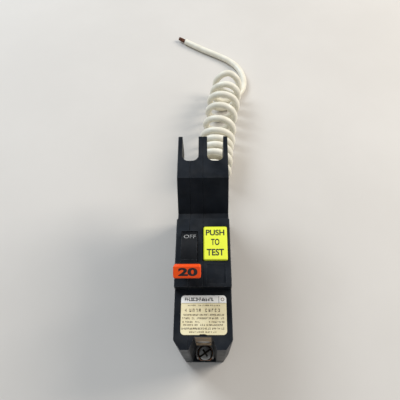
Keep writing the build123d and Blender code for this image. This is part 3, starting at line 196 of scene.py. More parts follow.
def spline_points(piece):
    """The points that a curve's own line passes through, read from a copy with no section."""
    bare = piece.data.copy()
    bare.bevel_depth = 0
    probe = bpy.data.objects.new("probe", bare)
    bpy.context.scene.collection.objects.link(probe)
    bpy.context.view_layer.update()
    graph = bpy.context.evaluated_depsgraph_get()
    mesh = bpy.data.meshes.new_from_object(probe.evaluated_get(graph))
    points = np.zeros(len(mesh.vertices) * 3)
    mesh.vertices.foreach_get("co", points)
    bpy.data.objects.remove(probe)
    bpy.data.curves.remove(bare)
    bpy.data.meshes.remove(mesh)
    return points.reshape(-1, 3)


pigtail = open_spline("pigtail_wire", pigtail_route, WIRE_RADIUS)
pigtail_line = spline_points(pigtail)
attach(pigtail, "case")
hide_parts("pigtail_lead", "pigtail_coil", "pigtail_tail")

# %% [markdown]
# ## Surfaces from arrays
# Most new pieces are one of two surfaces: a grid of points that closes on itself, or a tube that a
# circle sweeps out along a line. Both are worked out as whole arrays and put into a mesh at once.


# %% Mesh helpers
def mesh_piece(name, points, faces, body, slot, smooth=True):
    """Puts arrays of points and faces into a mesh object that rides on a body."""
    mesh = bpy.data.meshes.new(name)
    mesh.from_pydata(np.asarray(points).reshape(-1, 3).tolist(), [], faces)
    mesh.polygons.foreach_set("use_smooth", np.full(len(mesh.polygons), smooth))
    mesh.update()
    piece = bpy.data.objects.new(name, mesh)
    bpy.context.scene.collection.objects.link(piece)
    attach(piece, body)
    return piece


def grid_faces(rows, columns, close_rows=False, start=0):
    """Quads between neighbouring points of a rows by columns grid whose columns close round."""
    row = np.arange(rows if close_rows else rows - 1)[:, None]
    column = np.arange(columns)[None, :]
    after_row = (row + 1) % rows
    after_column = (column + 1) % columns
    corners = (
        row * columns + column,
        row * columns + after_column,
        after_row * columns + after_column,
        after_row * columns + column,
    )
    quads = np.stack([np.broadcast_to(c, (len(row), columns)) for c in corners], -1) + start
    return quads.reshape(-1, 4).tolist()


def tube(line, radius, beside, sides=10, start=0):
    """Sweeps a circle along a line: each ring is the line's point plus radius times
    (cos u times side, sin u times top), where side and top are square to the line's direction and
    side leans towards the given direction. Returns points and faces, with flat ends."""
    ahead = np.gradient(line, axis=0)
    ahead /= np.linalg.norm(ahead, axis=1)[:, None]
    beside = np.broadcast_to(beside, line.shape)
    side = beside - (beside * ahead).sum(1)[:, None] * ahead
    side /= np.linalg.norm(side, axis=1)[:, None]
    top = np.cross(ahead, side)
    u = np.linspace(0, 2 * math.pi, sides, endpoint=False)
    ring = np.cos(u)[None, :, None] * side[:, None] + np.sin(u)[None, :, None] * top[:, None]
    points = (line[:, None] + radius * ring).reshape(-1, 3)
    faces = grid_faces(len(line), sides, start=start)
    last = start + (len(line) - 1) * sides
    faces.append(list(range(start + sides - 1, start - 1, -1)))
    faces.append(list(range(last, last + sides)))
    return points, faces


def joined(parts):
    """Several (points, faces) pairs as one, where each part's faces already count from its start."""
    return np.concatenate([p for p, _ in parts]), [face for _, faces in parts for face in faces]


print("a closed band of two rings of four points has", len(grid_faces(2, 4)), "faces")

# %% [markdown]
# ## The stripped end
# The last seven millimetres of the pigtail are bare: seven copper strands, six of them laid round
# one. A single rod would show as a rod from close by, so each strand is its own tube. An outer
# strand is a helix about the wire's line with a long lay, and its tip is cut a little short or long.

# %% Stripped end
STRAND_RADIUS = 0.48 * MM
STRAND_RING = 0.96 * MM
OUTER_STRANDS = 6
LAY = 30.0 * MM
BARE_LENGTH = 7.0 * MM
CUT_SPREAD = 0.6
HIDDEN_LENGTH = 1.0 * MM
random = np.random.default_rng(7)


def bare_strands():
    """A strand is origin plus t times the heading plus the ring's radius times (cos a, sin a) in
    the square plane, where a grows by 2 pi for each lay."""
    origin = pigtail_line[-1]
    heading = pigtail_route[-1] - pigtail_route[-2]
    heading /= np.linalg.norm(heading)
    side = np.cross(heading, (0, 0, 1))
    side /= np.linalg.norm(side)
    top = np.cross(side, heading)
    parts = []
    total = 0
    for strand in range(OUTER_STRANDS + 1):
        reach = BARE_LENGTH - random.uniform(0, CUT_SPREAD) * MM
        t = np.linspace(-HIDDEN_LENGTH, reach, 24)
        ring = 0 if strand == OUTER_STRANDS else STRAND_RING
        angle = 2 * math.pi * (t / LAY + strand / OUTER_STRANDS)
        line = origin + t[:, None] * heading
        line = line + ring * (np.cos(angle)[:, None] * side + np.sin(angle)[:, None] * top)
        part = tube(line, STRAND_RADIUS, top, start=total)
        total += len(part[0])
        parts.append(part)
    return joined(parts)


strands = mesh_piece("pigtail_strands", *bare_strands(), "case", "bare_copper")
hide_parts("pigtail_bare_end")
print("strands", OUTER_STRANDS + 1, "points", len(strands.data.vertices))

# %% [markdown]
# ## Springs
# The over-centre spring pulls the contact arm across, and the return spring lifts the button. The
# solid model has a plain ring for each. Here they are real helices with closed ends. A screw
# modifier could turn a circle into one, but only a formula lets the pitch close up at the ends. Each
# takes the height and the outer radius of its ring, so it sits in the same place.

# %% Springs
SPRING_CLEARANCE = 0.02 * MM
SPRING_STEPS = 20        # points in each turn


def spring(name, node, body, wire, turns):
    """A helix about the node's upright middle line: x and y are the mean radius times (cos a, sin a),
    where a is 2 pi times the turns so far. The height stays level for the first and the last turn's
    share and rises evenly between them, so the ends close up."""
    low, high = (np.array(corner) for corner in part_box(node))
    middle = (low + high) / 2
    radius = (high[0] - low[0]) / 2 - wire - SPRING_CLEARANCE
    share = np.linspace(0, 1, turns * SPRING_STEPS)
    angle = 2 * math.pi * turns * share
    rise = np.clip((share * (turns + 2) - 1) / turns, 0, 1)
    z = low[2] + wire + rise * (high[2] - low[2] - 2 * wire)
    line = np.stack((middle[0] + radius * np.cos(angle), middle[1] + radius * np.sin(angle), z), -1)
    piece = mesh_piece(name, *tube(line, wire, (0, 0, 1)), body, "steel")
    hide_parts(node)
    return piece


over_centre_spring = spring("over_centre_spring", "toggle_spring", "contact_arm", 0.24 * MM, 14)
return_spring = spring("return_spring", "button_spring", "case", 0.33 * MM, 6)
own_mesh(return_spring)

# %% [markdown]
# ## Raised lettering
# The breaker's plain working marks are stamped or printed on its handle and button. They could be
# painted by a material, but thin raised letters keep a sharp edge from close by. A word is made as
# text, turned into a mesh at once, scaled to its real width and height, and then laid on its surface
# by a function that takes places across, up and out from the middle of the word to a place in the
# frame.

# %% Lettering
LETTER_THICKNESS = 0.06 * MM


def word_mesh(word, width, height, thickness, bold=0.0):
    """Points (across, up, out) in metres about the word's middle, and its faces."""
    text = bpy.data.curves.new("word", "FONT")
    text.body = word
    text.extrude = 0.1
    text.offset = bold
    text.resolution_u = 6
    holder = bpy.data.objects.new("word", text)
    bpy.context.scene.collection.objects.link(holder)
    bpy.context.view_layer.update()
    made = bpy.data.meshes.new_from_object(holder.evaluated_get(bpy.context.evaluated_depsgraph_get()))
    points = np.zeros(len(made.vertices) * 3)
    made.vertices.foreach_get("co", points)
    points = points.reshape(-1, 3)
    faces = [list(polygon.vertices) for polygon in made.polygons]
    bpy.data.objects.remove(holder)
    bpy.data.curves.remove(text)
    bpy.data.meshes.remove(made)
    low, high = points.min(0), points.max(0)
    points = (points - (low + high) / 2) / (high - low)
    return points * (width, height, thickness), faces


def flat_place(middle, across, up):
    """Lays a word on a plane through the middle point."""
    across, up = np.array(across, float), np.array(up, float)
    out = np.cross(across, up)

    def place(points):
        return np.array(middle) + points @ np.stack((across, up, out))

    return place


def barrel_place(middle_x, pivot, radius, lean):
    """Lays a word round a drum about X: a height v becomes the angle lean + v / radius, measured
    from straight up towards +Y."""
    def place(points):
        angle = lean + points[:, 1] / radius
        reach = radius + points[:, 2]
        y = pivot[0] + reach * np.sin(angle)
        z = pivot[1] + reach * np.cos(angle)
        return np.stack((middle_x + points[:, 0], y, z), -1)

    return place


def lettering(name, words, place, body, slot):
    """Words in one piece. Each is (word, width, height, up, bold) in millimetres."""
    parts = []
    total = 0
    for word, width, height, up, bold in words:
        points, faces = word_mesh(word, width * MM, height * MM, LETTER_THICKNESS, bold)
        points[:, 1] += up * MM
        parts.append((place(points), [[index + total for index in face] for face in faces]))
        total += len(points)
    return mesh_piece(name, *joined(parts), body, slot, smooth=False)


# %% Marks on the handle
handle_pivot = np.array(joint_at["handle_throw"]["pos_m"])
LEAN = math.radians(29.5)
THROW = math.radians(55.0)
OFF_ANGLE = math.radians(27.0)
DRUM_RADIUS = 14.4 * MM
TIP_REACH = 30.5 * MM
OFF_SHIFT, TIP_SHIFT = 0.2 * MM, 0.4 * MM

off_place = barrel_place(handle_pivot[0] + OFF_SHIFT, handle_pivot[1:], DRUM_RADIUS, OFF_ANGLE)
off_mark = lettering("off_mark", [("OFF", 5.5, 2.5, 0, 0)], off_place, "handle", "label_paper")
on_place = barrel_place(handle_pivot[0], handle_pivot[1:], DRUM_RADIUS, -THROW - OFF_ANGLE)
on_mark = lettering("on_mark", [("ON", 4.0, 2.5, 0, 0)], on_place, "handle", "label_paper")

tip_out = np.array((0, -math.sin(LEAN), math.cos(LEAN)))
tip_middle = handle_pivot + TIP_REACH * tip_out + np.array((TIP_SHIFT, 0, 0))
tip_place = flat_place(tip_middle, (1, 0, 0), (0, math.cos(LEAN), math.sin(LEAN)))
RATING_WORDS = [("20", 7.9, 3.4, 0.1, 0.045)]
rating_mark = lettering("rating_mark", RATING_WORDS, tip_place, "handle", "component_black")
print("rating mark's middle", [round(float(value), 4) for value in tip_middle])

# %% Marks on the button
BUTTON_SLOPE = math.atan(2.8 / 34.0)
BUTTON_X = 5.7
PUSH_Y, TO_Y, TEST_Y = 0.6, -4.3, -9.5
BUTTON_BOLD = 0.025


def button_top(y):
    """Height of the sloping cap at a place along it: the cap's plane is z + y tan(slope) = a
    constant, which is the largest value that any of the button's points gives."""
    vertices = frame["nodes"]["test_button"].data.vertices
    points = np.zeros(len(vertices) * 3)
    vertices.foreach_get("co", points)
    points = points.reshape(-1, 3)
    return float((points[:, 2] + math.tan(BUTTON_SLOPE) * (points[:, 1] - y)).max())


button_middle_y = TO_Y * MM
button_place = flat_place(
    (BUTTON_X * MM, button_middle_y, button_top(button_middle_y)),
    (1, 0, 0),
    (0, math.cos(BUTTON_SLOPE), -math.sin(BUTTON_SLOPE)),
)
BUTTON_WORDS = [
    ("PUSH", 8.7, 3.1, PUSH_Y - TO_Y, BUTTON_BOLD),
    ("TO", 3.9, 3.3, 0, BUTTON_BOLD),
    ("TEST", 7.9, 3.4, TEST_Y - TO_Y, BUTTON_BOLD),
]
button_mark = lettering("button_mark", BUTTON_WORDS, button_place, "test_button", "component_black")
print("button's top under its middle word", round(button_top(button_middle_y), 5))

# %% [markdown]
# ## The rating label
# The label is a thin printed film with rounded corners, a nick in its lower edge and corners that
# lift very slightly. It is rings of one outline that shrink towards the middle, because the outline
# has to keep its nick and the surface has to be able to bend. Its top strip is white and the rest is
# cream. Its print is plain blocks in rows, at the size and spacing of small type, and it spells
# nothing.

# %% Label sheet
LABEL_LOW = np.array((-9.65, -44.8))
LABEL_HIGH = np.array((10.25, -28.0))
LABEL_CORNER = 1.6
LABEL_UNDER, LABEL_TOP = 50.02, 50.13
LABEL_NICK = ((-1.6, 0.0), (-1.3, 0.3), (0.6, 0.35), (1.4, 0.15), (1.7, 0.0))
CORNER_LIFT, EDGE_ROLL = 0.05, 0.03
STRIP_EDGE = -31.4
LABEL_RINGS = (1.0, 0.97, 0.9, 0.75, 0.5, 0.25)


def label_outline():
    """The rounded outline: each corner's centre plus the corner radius times (cos a, sin a), and the
    nick's points after the lower left corner."""
    inner_low, inner_high = LABEL_LOW + LABEL_CORNER, LABEL_HIGH - LABEL_CORNER
    centres = (inner_high, (inner_low[0], inner_high[1]), inner_low, (inner_high[0], inner_low[1]))
    points = []
    for quarter, centre in enumerate(centres):
        angle = math.pi / 2 * (quarter + np.linspace(0, 1, 9))
        corner = np.stack((np.cos(angle), np.sin(angle)), -1) * LABEL_CORNER + centre
        points.extend(corner)
        if quarter == 2:
            points.extend((x, LABEL_LOW[1] + depth) for x, depth in LABEL_NICK)
    return np.array(points)


def label_sheet():
    """Rings that shrink towards the middle: the outermost is rolled under a little, and a ring's
    height is the top plus the corner lift times the point's share of the way to a corner, to the
    sixth power, so only the corners lift. The first ring and a flat face close the underside."""
    outline = label_outline()
    middle = (LABEL_LOW + LABEL_HIGH) / 2
    rings = [np.column_stack((outline, np.full(len(outline), LABEL_UNDER)))]
    for share in LABEL_RINGS:
        ring = middle + (outline - middle) * share
        far = np.linalg.norm((ring - middle) / (LABEL_HIGH - middle), axis=1) / math.sqrt(2)
        height = LABEL_TOP + CORNER_LIFT * far**6 - EDGE_ROLL * (share == 1.0)
        rings.append(np.column_stack((ring, height)))
    count = len(outline)
    points = np.concatenate(rings) * MM
    faces = grid_faces(len(rings), count)
    faces.append([(len(rings) - 1) * count + i for i in range(count)])
    faces.append(list(range(count - 1, -1, -1)))
    return points, faces


label = mesh_piece("label_film", *label_sheet(), "case", "label_paper", smooth=False)
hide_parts("rating_label")
print("label points", len(label.data.vertices), "size in mm", LABEL_HIGH - LABEL_LOW)

# %% Label print
PRINT_ROWS = (
    # (y, height, x from, x to, letter width, gap, chance of a word space)
    (-32.4, 0.5, -6.6, 7.9, 0.45, 0.28, 0.15),
    (-34.5, 1.35, -8.0, 8.6, 0.75, 0.62, 0.2),
    (-36.5, 0.75, -9.2, 9.8, 0.5, 0.2, 0.12),
    (-37.9, 0.75, -9.0, 9.7, 0.5, 0.24, 0.18),
    (-39.4, 0.65, -8.8, -1.2, 0.45, 0.24, 0.16),
    (-39.5, 0.65, 2.6, 9.7, 0.45, 0.26, 0.16),
    (-40.7, 0.7, -8.4, 8.5, 0.5, 0.22, 0.14),
    (-42.2, 0.75, -9.2, 9.3, 0.52, 0.18, 0.1),
    (-43.6, 0.6, -5.8, 5.9, 0.5, 0.3, 0.2),
)
STRIP_ROW = (-29.75, 1.5, -8.0, 5.3, 0.72, 0.2, 0.16)
STRIP_LINES = [(-9.4, 10.0, STRIP_EDGE - 0.06, STRIP_EDGE + 0.06), (6.9, 7.05, STRIP_EDGE, -28.35)]
INK_LOW, INK_TOP = 50.1, 50.19


def ink_block(x_low, x_high, y_low, y_high, start):
    """A slab of ink with its top a little above the film."""
    corners = [(x_low, y_low), (x_high, y_low), (x_high, y_high), (x_low, y_high)]
    points = [(x, y, z) for z in (INK_LOW, INK_TOP) for x, y in corners]
    faces = [(3, 2, 1, 0), (4, 5, 6, 7), (0, 1, 5, 4), (1, 2, 6, 5), (2, 3, 7, 6), (3, 0, 4, 7)]
    return np.array(points) * MM, [[start + index for index in face] for face in faces]


def ink_row(row, blocks):
    """Adds a row of letter-like marks: each is one or two upright strokes and up to two bars."""
    y, height, x, x_end, width, gap, space = row
    stroke, bar_height = 0.3 * width, 0.24 * height
    while x + width < x_end:
        if random.uniform() < space:
            x += width
            continue
        kind = random.integers(1, 4)
        if kind != 2:
            blocks.append((x, x + stroke, y - height / 2, y + height / 2))
        if kind != 1:
            blocks.append((x + width - stroke, x + width, y - height / 2, y + height / 2))
        for bar in random.choice(3, size=random.integers(1, 3), replace=False):
            low = y + (bar / 2 - 0.5) * (height - bar_height) - bar_height / 2
            blocks.append((x + 0.1 * width, x + 0.9 * width, low, low + bar_height))
        x += width + gap


def label_print(rows, lines):
    """The slabs of the given lines, then of every mark in the rows, as one set of points and faces."""
    blocks = list(lines)
    for row in rows:
        ink_row(row, blocks)
    return joined([ink_block(*block, start=8 * index) for index, block in enumerate(blocks)])


def ink_piece(name, points, faces):
    """A piece of ink on the label."""
    return mesh_piece(name, points, faces, "case", "component_black", smooth=False)


fine_print = ink_piece("label_print", *label_print(PRINT_ROWS, []))
strip_print = ink_piece("label_heading", *label_print([STRIP_ROW], STRIP_LINES))
print("slabs of print", len(fine_print.data.vertices) // 8, len(strip_print.data.vertices) // 8)

# %% Label emblem
EMBLEM_PLACE = (8.6, -29.8)
EMBLEM_OUTER, EMBLEM_INNER = 0.75, 0.5
EMBLEM_POINTS = 48


def emblem():
    """A plain ring: its square section runs round (cos a, sin a) at two radii, at ink height."""
    angle = np.linspace(0, 2 * math.pi, EMBLEM_POINTS, endpoint=False)
    round_points = np.stack((np.cos(angle), np.sin(angle)), -1)
    section = (
        (EMBLEM_OUTER, INK_LOW),
        (EMBLEM_OUTER, INK_TOP),
        (EMBLEM_INNER, INK_TOP),
        (EMBLEM_INNER, INK_LOW),
    )
    rings = []
    for radius, height in section:
        circle = round_points * radius + EMBLEM_PLACE
        rings.append(np.column_stack((circle, np.full(EMBLEM_POINTS, height))))
    return np.concatenate(rings) * MM, grid_faces(len(section), EMBLEM_POINTS, close_rows=True)


emblem_ring = ink_piece("label_emblem", *emblem())

# %% [markdown]
# ## Shared surface effects
# Moulded and stamped parts are worn along their edges and have a fine grain everywhere. Each effect
# is a shader node group, so that every material can take it at its own scale. The groups put out
# only masks and heights, and the shader itself stays in the material. The edge mask compares the
# true normal with one rounded over a small radius: where the two differ there is an edge. It paints
# worn edges, and on the case it also paints a highlight along the edges. A map painted by hand
# would do this too, but it would have to be painted again for every change of shape.


# %% Node group helpers
NOISE_ROUGHNESS = 0.55


def new_group(name, inputs, outputs):
    """A shader node group with float inputs and outputs, and its input and output nodes."""
    group = bpy.data.node_groups.new(name, "ShaderNodeTree")
    for label, value in inputs.items():
        socket = group.interface.new_socket(label, in_out="INPUT", socket_type="NodeSocketFloat")
        socket.default_value = value
    for label in outputs:
        group.interface.new_socket(label, in_out="OUTPUT", socket_type="NodeSocketFloat")
    return group, group.nodes.new("NodeGroupInput"), group.nodes.new("NodeGroupOutput")


def math_node(tree, operation, first, second=None):
    """A math node whose inputs are sockets or plain numbers, and its output."""
    node = tree.nodes.new("ShaderNodeMath")
    node.operation = operation
    for socket, value in zip(node.inputs, (first, second)):
        if isinstance(value, bpy.types.NodeSocket):
            tree.links.new(value, socket)
        elif value is not None:
            socket.default_value = value
    return node.outputs[0]


def noise_node(tree, scale, detail=3.0, stretch=None):
    """A noise pattern on Object coordinates, stretched where asked, and its value output."""
    coordinates = tree.nodes.new("ShaderNodeTexCoord").outputs["Object"]
    noise = tree.nodes.new("ShaderNodeTexNoise")
    noise.inputs["Detail"].default_value = detail
    noise.inputs["Roughness"].default_value = NOISE_ROUGHNESS
    if isinstance(scale, bpy.types.NodeSocket):
        tree.links.new(scale, noise.inputs["Scale"])
    else:
        noise.inputs["Scale"].default_value = scale
    if stretch:
        mapping = tree.nodes.new("ShaderNodeMapping")
        mapping.inputs["Scale"].default_value = stretch
        tree.links.new(coordinates, mapping.inputs["Vector"])
        coordinates = mapping.outputs["Vector"]
    tree.links.new(coordinates, noise.inputs["Vector"])
    return noise.outputs[0]


def ramp_value(tree, value, low, high):
    """Maps low..high to 0..1 with a smooth step."""
    node = tree.nodes.new("ShaderNodeMapRange")
    node.interpolation_type = "SMOOTHSTEP"
    tree.links.new(value, node.inputs["Value"])
    for label, number in (("From Min", low), ("From Max", high)):
        if isinstance(number, bpy.types.NodeSocket):
            tree.links.new(number, node.inputs[label])
        else:
            node.inputs[label].default_value = number
    return node.outputs["Result"]


# %% Edge wear and highlight group
# The edge mask that these bound paints worn edges, and on the case also a painted highlight.
EDGE_APART = (0.01, 0.16)    # how far two normals differ where wear starts, and where it is full
EDGE_BREAK = (0.35, 0.65)


def edge_wear_and_highlight_group():
    """Mask = smooth step of (1 - true normal . rounded normal), broken up by a noise."""
    group, into, out = new_group("edge_wear", {"Radius": 0.0003, "Break": 900.0}, ["Mask"])
    rounded = group.nodes.new("ShaderNodeBevel")
    rounded.samples = 6
    group.links.new(into.outputs["Radius"], rounded.inputs["Radius"])
    true = group.nodes.new("ShaderNodeNewGeometry")
    dot = group.nodes.new("ShaderNodeVectorMath")
    dot.operation = "DOT_PRODUCT"
    group.links.new(rounded.outputs[0], dot.inputs[0])
    group.links.new(true.outputs["Normal"], dot.inputs[1])
    apart = math_node(group, "SUBTRACT", 1.0, dot.outputs["Value"])
    edge = ramp_value(group, apart, *EDGE_APART)
    broken = ramp_value(group, noise_node(group, into.outputs["Break"]), *EDGE_BREAK)
    group.links.new(math_node(group, "MULTIPLY", edge, broken), out.inputs["Mask"])
    return group


# %% Grain and dust groups
SPECK_SCALE = 5200.0
SPECK_CUT = (0.68, 0.78)


def grain_group():
    """Height = a fine noise plus a third of a coarser one; Mottle = a slow noise from 0 to 1."""
    scales = {"Fine": 4000.0, "Slow": 60.0}
    group, into, out = new_group("moulded_grain", scales, ["Height", "Mottle"])
    fine = noise_node(group, into.outputs["Fine"], detail=4.0)
    coarse = noise_node(group, math_node(group, "MULTIPLY", into.outputs["Fine"], 0.2))
    height = math_node(group, "ADD", fine, math_node(group, "MULTIPLY", coarse, 0.33))
    group.links.new(height, out.inputs["Height"])
    mottle = ramp_value(group, noise_node(group, into.outputs["Slow"], detail=5.0), 0.3, 0.7)
    group.links.new(mottle, out.inputs["Mottle"])
    return group


def dust_group():
    """Mask = faces that look up, times the given amount, times half a patchy noise plus specks."""
    group, into, out = new_group("settled_dust", {"Patch": 120.0, "Amount": 0.5}, ["Mask"])
    normal = group.nodes.new("ShaderNodeNewGeometry")
    parts = group.nodes.new("ShaderNodeSeparateXYZ")
    group.links.new(normal.outputs["Normal"], parts.inputs[0])
    upward = ramp_value(group, parts.outputs["Z"], 0.2, 1.0)
    patches = ramp_value(group, noise_node(group, into.outputs["Patch"], detail=6.0), 0.4, 0.75)
    specks = ramp_value(group, noise_node(group, SPECK_SCALE, detail=1.0), *SPECK_CUT)
    both = math_node(group, "ADD", math_node(group, "MULTIPLY", patches, 0.5), specks)
    amount = math_node(group, "MULTIPLY", both, into.outputs["Amount"])
    group.links.new(math_node(group, "MULTIPLY", upward, amount), out.inputs["Mask"])
    return group


EDGE_WEAR_AND_HIGHLIGHT = edge_wear_and_highlight_group()
GRAIN = grain_group()
DUST = dust_group()
print("shared groups", [group.name for group in (EDGE_WEAR_AND_HIGHLIGHT, GRAIN, DUST)])

# %% [markdown]
# ## Finishes
# A finish starts from one recipe: two close colours mottled into each other, a roughness that
# follows the same mottle, a fine bump, then worn edges (on the case partly a painted highlight) and
# dust on top where the piece shows.
# The numbers say which material it is. One recipe keeps the materials alike in kind, so they sit
# together in one light, and a material that needs more adds it after.

# %% The common recipe
DUST_COLOR = (0.42, 0.40, 0.37)
EDGE_MASK_BREAK = 700.0
DUST_PATCH = 110.0


def mix_color(tree, mask, first, second):
    """A colour mix whose ends are sockets or plain colours, and its output."""
    node = tree.nodes.new("ShaderNodeMix")
    node.data_type = "RGBA"
    tree.links.new(mask, node.inputs[0])
    for socket, value in ((node.inputs[6], first), (node.inputs[7], second)):
        if isinstance(value, bpy.types.NodeSocket):
            tree.links.new(value, socket)
        else:
            socket.default_value = (*value, 1.0)
    return node.outputs[2]


def place_group(tree, group, **values):
    """Places a node group with its own values."""
    node = tree.nodes.new("ShaderNodeGroup")
    node.node_tree = group
    for label, value in values.items():
        node.inputs[label].default_value = value
    return node


def finish(name, colors, rough, metallic=0.0, specular=0.5, fine=4000.0, slow=60.0, bump=0.02,
           wear_and_highlight=None, dust=0.0, height=None):
    """Builds a material. colors and rough are (low, high) pairs, bump is in millimetres, the edge
    pair is (colour, radius in millimetres) for worn edges, which on the case are also a painted
    highlight, and height is a function that returns a bump height socket."""
    material = bpy.data.materials.new(name)
    material.use_nodes = True
    tree = material.node_tree
    shader = tree.nodes["Principled BSDF"]
    shader.inputs["Metallic"].default_value = metallic
    shader.inputs["Specular IOR Level"].default_value = specular
    grain = place_group(tree, GRAIN, Fine=fine, Slow=slow)
    color = mix_color(tree, grain.outputs["Mottle"], *colors)
    if wear_and_highlight:
        edges = place_group(tree, EDGE_WEAR_AND_HIGHLIGHT, Radius=wear_and_highlight[1] * MM, Break=EDGE_MASK_BREAK)
        color = mix_color(tree, edges.outputs["Mask"], color, wear_and_highlight[0])
    if dust:
        settled = place_group(tree, DUST, Patch=DUST_PATCH, Amount=dust)
        color = mix_color(tree, settled.outputs["Mask"], color, DUST_COLOR)
    tree.links.new(color, shader.inputs["Base Color"])
    spread = tree.nodes.new("ShaderNodeMapRange")
    spread.inputs["To Min"].default_value = rough[0]
    spread.inputs["To Max"].default_value = rough[1]
    tree.links.new(grain.outputs["Mottle"], spread.inputs["Value"])
    tree.links.new(spread.outputs["Result"], shader.inputs["Roughness"])
    relief = tree.nodes.new("ShaderNodeBump")
    relief.inputs["Distance"].default_value = bump * MM
    tree.links.new(height(tree) if height else grain.outputs["Height"], relief.inputs["Height"])
    tree.links.new(relief.outputs["Normal"], shader.inputs["Normal"])
    return material


# %% Plastics
def phenolic():
    """Black thermoset: a hard satin skin whose reflections are tinted blue-grey as a painted
    reflection of cool light, pale edges that are partly scuffs and partly a painted highlight, and dust.
    """
    # Pale edge colour: partly scuffing, partly a painted highlight along the case's edges.
    made = finish("case_phenolic", ((0.006, 0.007, 0.009), (0.012, 0.014, 0.018)), (0.34, 0.5),
                  specular=0.13, fine=3200.0, slow=90.0, bump=0.012,
                  wear_and_highlight=((0.055, 0.058, 0.065), 0.28), dust=0.05)
    shader = made.node_tree.nodes["Principled BSDF"]
    # Painted reflection: a blue-grey tint on the case's reflections stands in for cool light.
    shader.inputs["Specular Tint"].default_value = (0.72, 0.86, 1.0, 1.0)
    return made


def handle_plastic():
    """Black handle: smoother than the case, with its edges worn greyer by fingers."""
    return finish("handle_black", ((0.005, 0.006, 0.008), (0.010, 0.011, 0.013)), (0.3, 0.42),
                  specular=0.13, fine=5000.0, bump=0.006, wear_and_highlight=((0.12, 0.12, 0.13), 0.22), dust=0.04)


def handle_red():
    """Orange-red cap with two close reds and edges rubbed a little paler."""
    return finish("handle_red", ((0.90, 0.085, 0.004), (0.78, 0.062, 0.004)), (0.4, 0.52),
                  specular=0.25, fine=5000.0, bump=0.008, wear_and_highlight=((0.85, 0.22, 0.09), 0.25), dust=0.03)


def button_yellow():
    """Green-yellow button, glossier than the case, with slightly dirty edges."""
    return finish("button_yellow", ((0.80, 0.86, 0.045), (0.74, 0.80, 0.03)), (0.34, 0.46),
                  fine=4500.0, slow=140.0, bump=0.008, wear_and_highlight=((0.62, 0.68, 0.06), 0.2), dust=0.05)


def molded(name, dark, light, rough=(0.45, 0.6), bump=0.02):
    """Any other moulded piece: two close colours, and edges worn to the lighter one."""
    return finish(name, (dark, light), rough, fine=3000.0, bump=bump, wear_and_highlight=(light, 0.25))


# %% Metals
METAL_MOTTLE = 300.0
GROOVE_SCALE = 1800.0
WAVE_BANDS = 3.183       # bands that a wave pattern of scale one lays in a metre
# Painted shade: the dark colour for the screw's slot and sides, and the depths below the head's top where it
# starts and where it is full.
SLOT_SHADE = (0.03, 0.025, 0.02)
SHADE_START_DEPTH, SHADE_FULL_DEPTH = 0.15 * MM, 0.5 * MM


def metal(name, dark, light, rough, wear_color, brushed=(1.0, 12.0, 1.0), bump=0.004):
    """Rolled or plated metal: a brushed grain drawn out along one axis, and bright worn edges."""
    def grooves(tree):
        return noise_node(tree, GROOVE_SCALE, stretch=brushed)
    return finish(name, (dark, light), rough, metallic=1.0, slow=METAL_MOTTLE, bump=bump,
                  wear_and_highlight=(wear_color, 0.15), height=grooves)


def wound(name, dark, light, pitch, axis):
    """Enamelled wire laid side by side, in millimetres from turn to turn: a wave across the
    winding's axis."""
    def turns(tree):
        wave = tree.nodes.new("ShaderNodeTexWave")
        wave.bands_direction = axis
        wave.inputs["Scale"].default_value = 1 / (pitch * MM) / WAVE_BANDS
        coordinates = tree.nodes.new("ShaderNodeTexCoord").outputs["Object"]
        tree.links.new(coordinates, wave.inputs["Vector"])
        return wave.outputs[1]
    return finish(name, (dark, light), (0.25, 0.4), metallic=0.6, bump=0.08, height=turns)


def place_parts(tree):
    """The three parts of the place on the piece, as sockets."""
    parts = tree.nodes.new("ShaderNodeSeparateXYZ")
    coordinates = tree.nodes.new("ShaderNodeTexCoord").outputs["Object"]
    tree.links.new(coordinates, parts.inputs[0])
    return parts.outputs


def screw_metal():
    """Plated steel with painted shade in its slot and down its sides: only the top of the load screw's
    head keeps the plated colour, and it darkens over a short depth below that."""
    made = metal("screw_plated", (0.34, 0.33, 0.31), (0.6, 0.6, 0.58), (0.28, 0.42), (0.85, 0.85, 0.83))
    tree = made.node_tree
    shader = tree.nodes["Principled BSDF"]
    unshaded_color = shader.inputs["Base Color"].links[0].from_socket
    height = place_parts(tree)["Z"]
    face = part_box("load_screw")[1][2]
    # Painted shade: darker over a short depth below the top of the head.
    bright = ramp_value(tree, height, face - SHADE_FULL_DEPTH, face - SHADE_START_DEPTH)
    tree.links.new(mix_color(tree, bright, SLOT_SHADE, unshaded_color), shader.inputs["Base Color"])
    return made


# %% Paper and insulation
STRIP_WHITE = (0.88, 0.88, 0.85)


def insulation():
    """White extruded plastic on the pigtail, slightly grimy."""
    return finish("insulation_white", ((0.83, 0.80, 0.69), (0.74, 0.70, 0.58)), (0.32, 0.45),
                  fine=2500.0, slow=160.0, bump=0.01)


def label_film():
    """Coated paper: white above the strip's edge and aged cream of two depths below it."""
    made = finish("label_paper", ((0.84, 0.76, 0.50), (0.76, 0.67, 0.41)), (0.4, 0.55),
                  fine=1500.0, slow=240.0, bump=0.01)
    tree = made.node_tree
    shader = tree.nodes["Principled BSDF"]
    cream = shader.inputs["Base Color"].links[0].from_socket
    above = math_node(tree, "GREATER_THAN", place_parts(tree)["Y"], STRIP_EDGE * MM)
    tree.links.new(mix_color(tree, above, cream, STRIP_WHITE), shader.inputs["Base Color"])
    return made


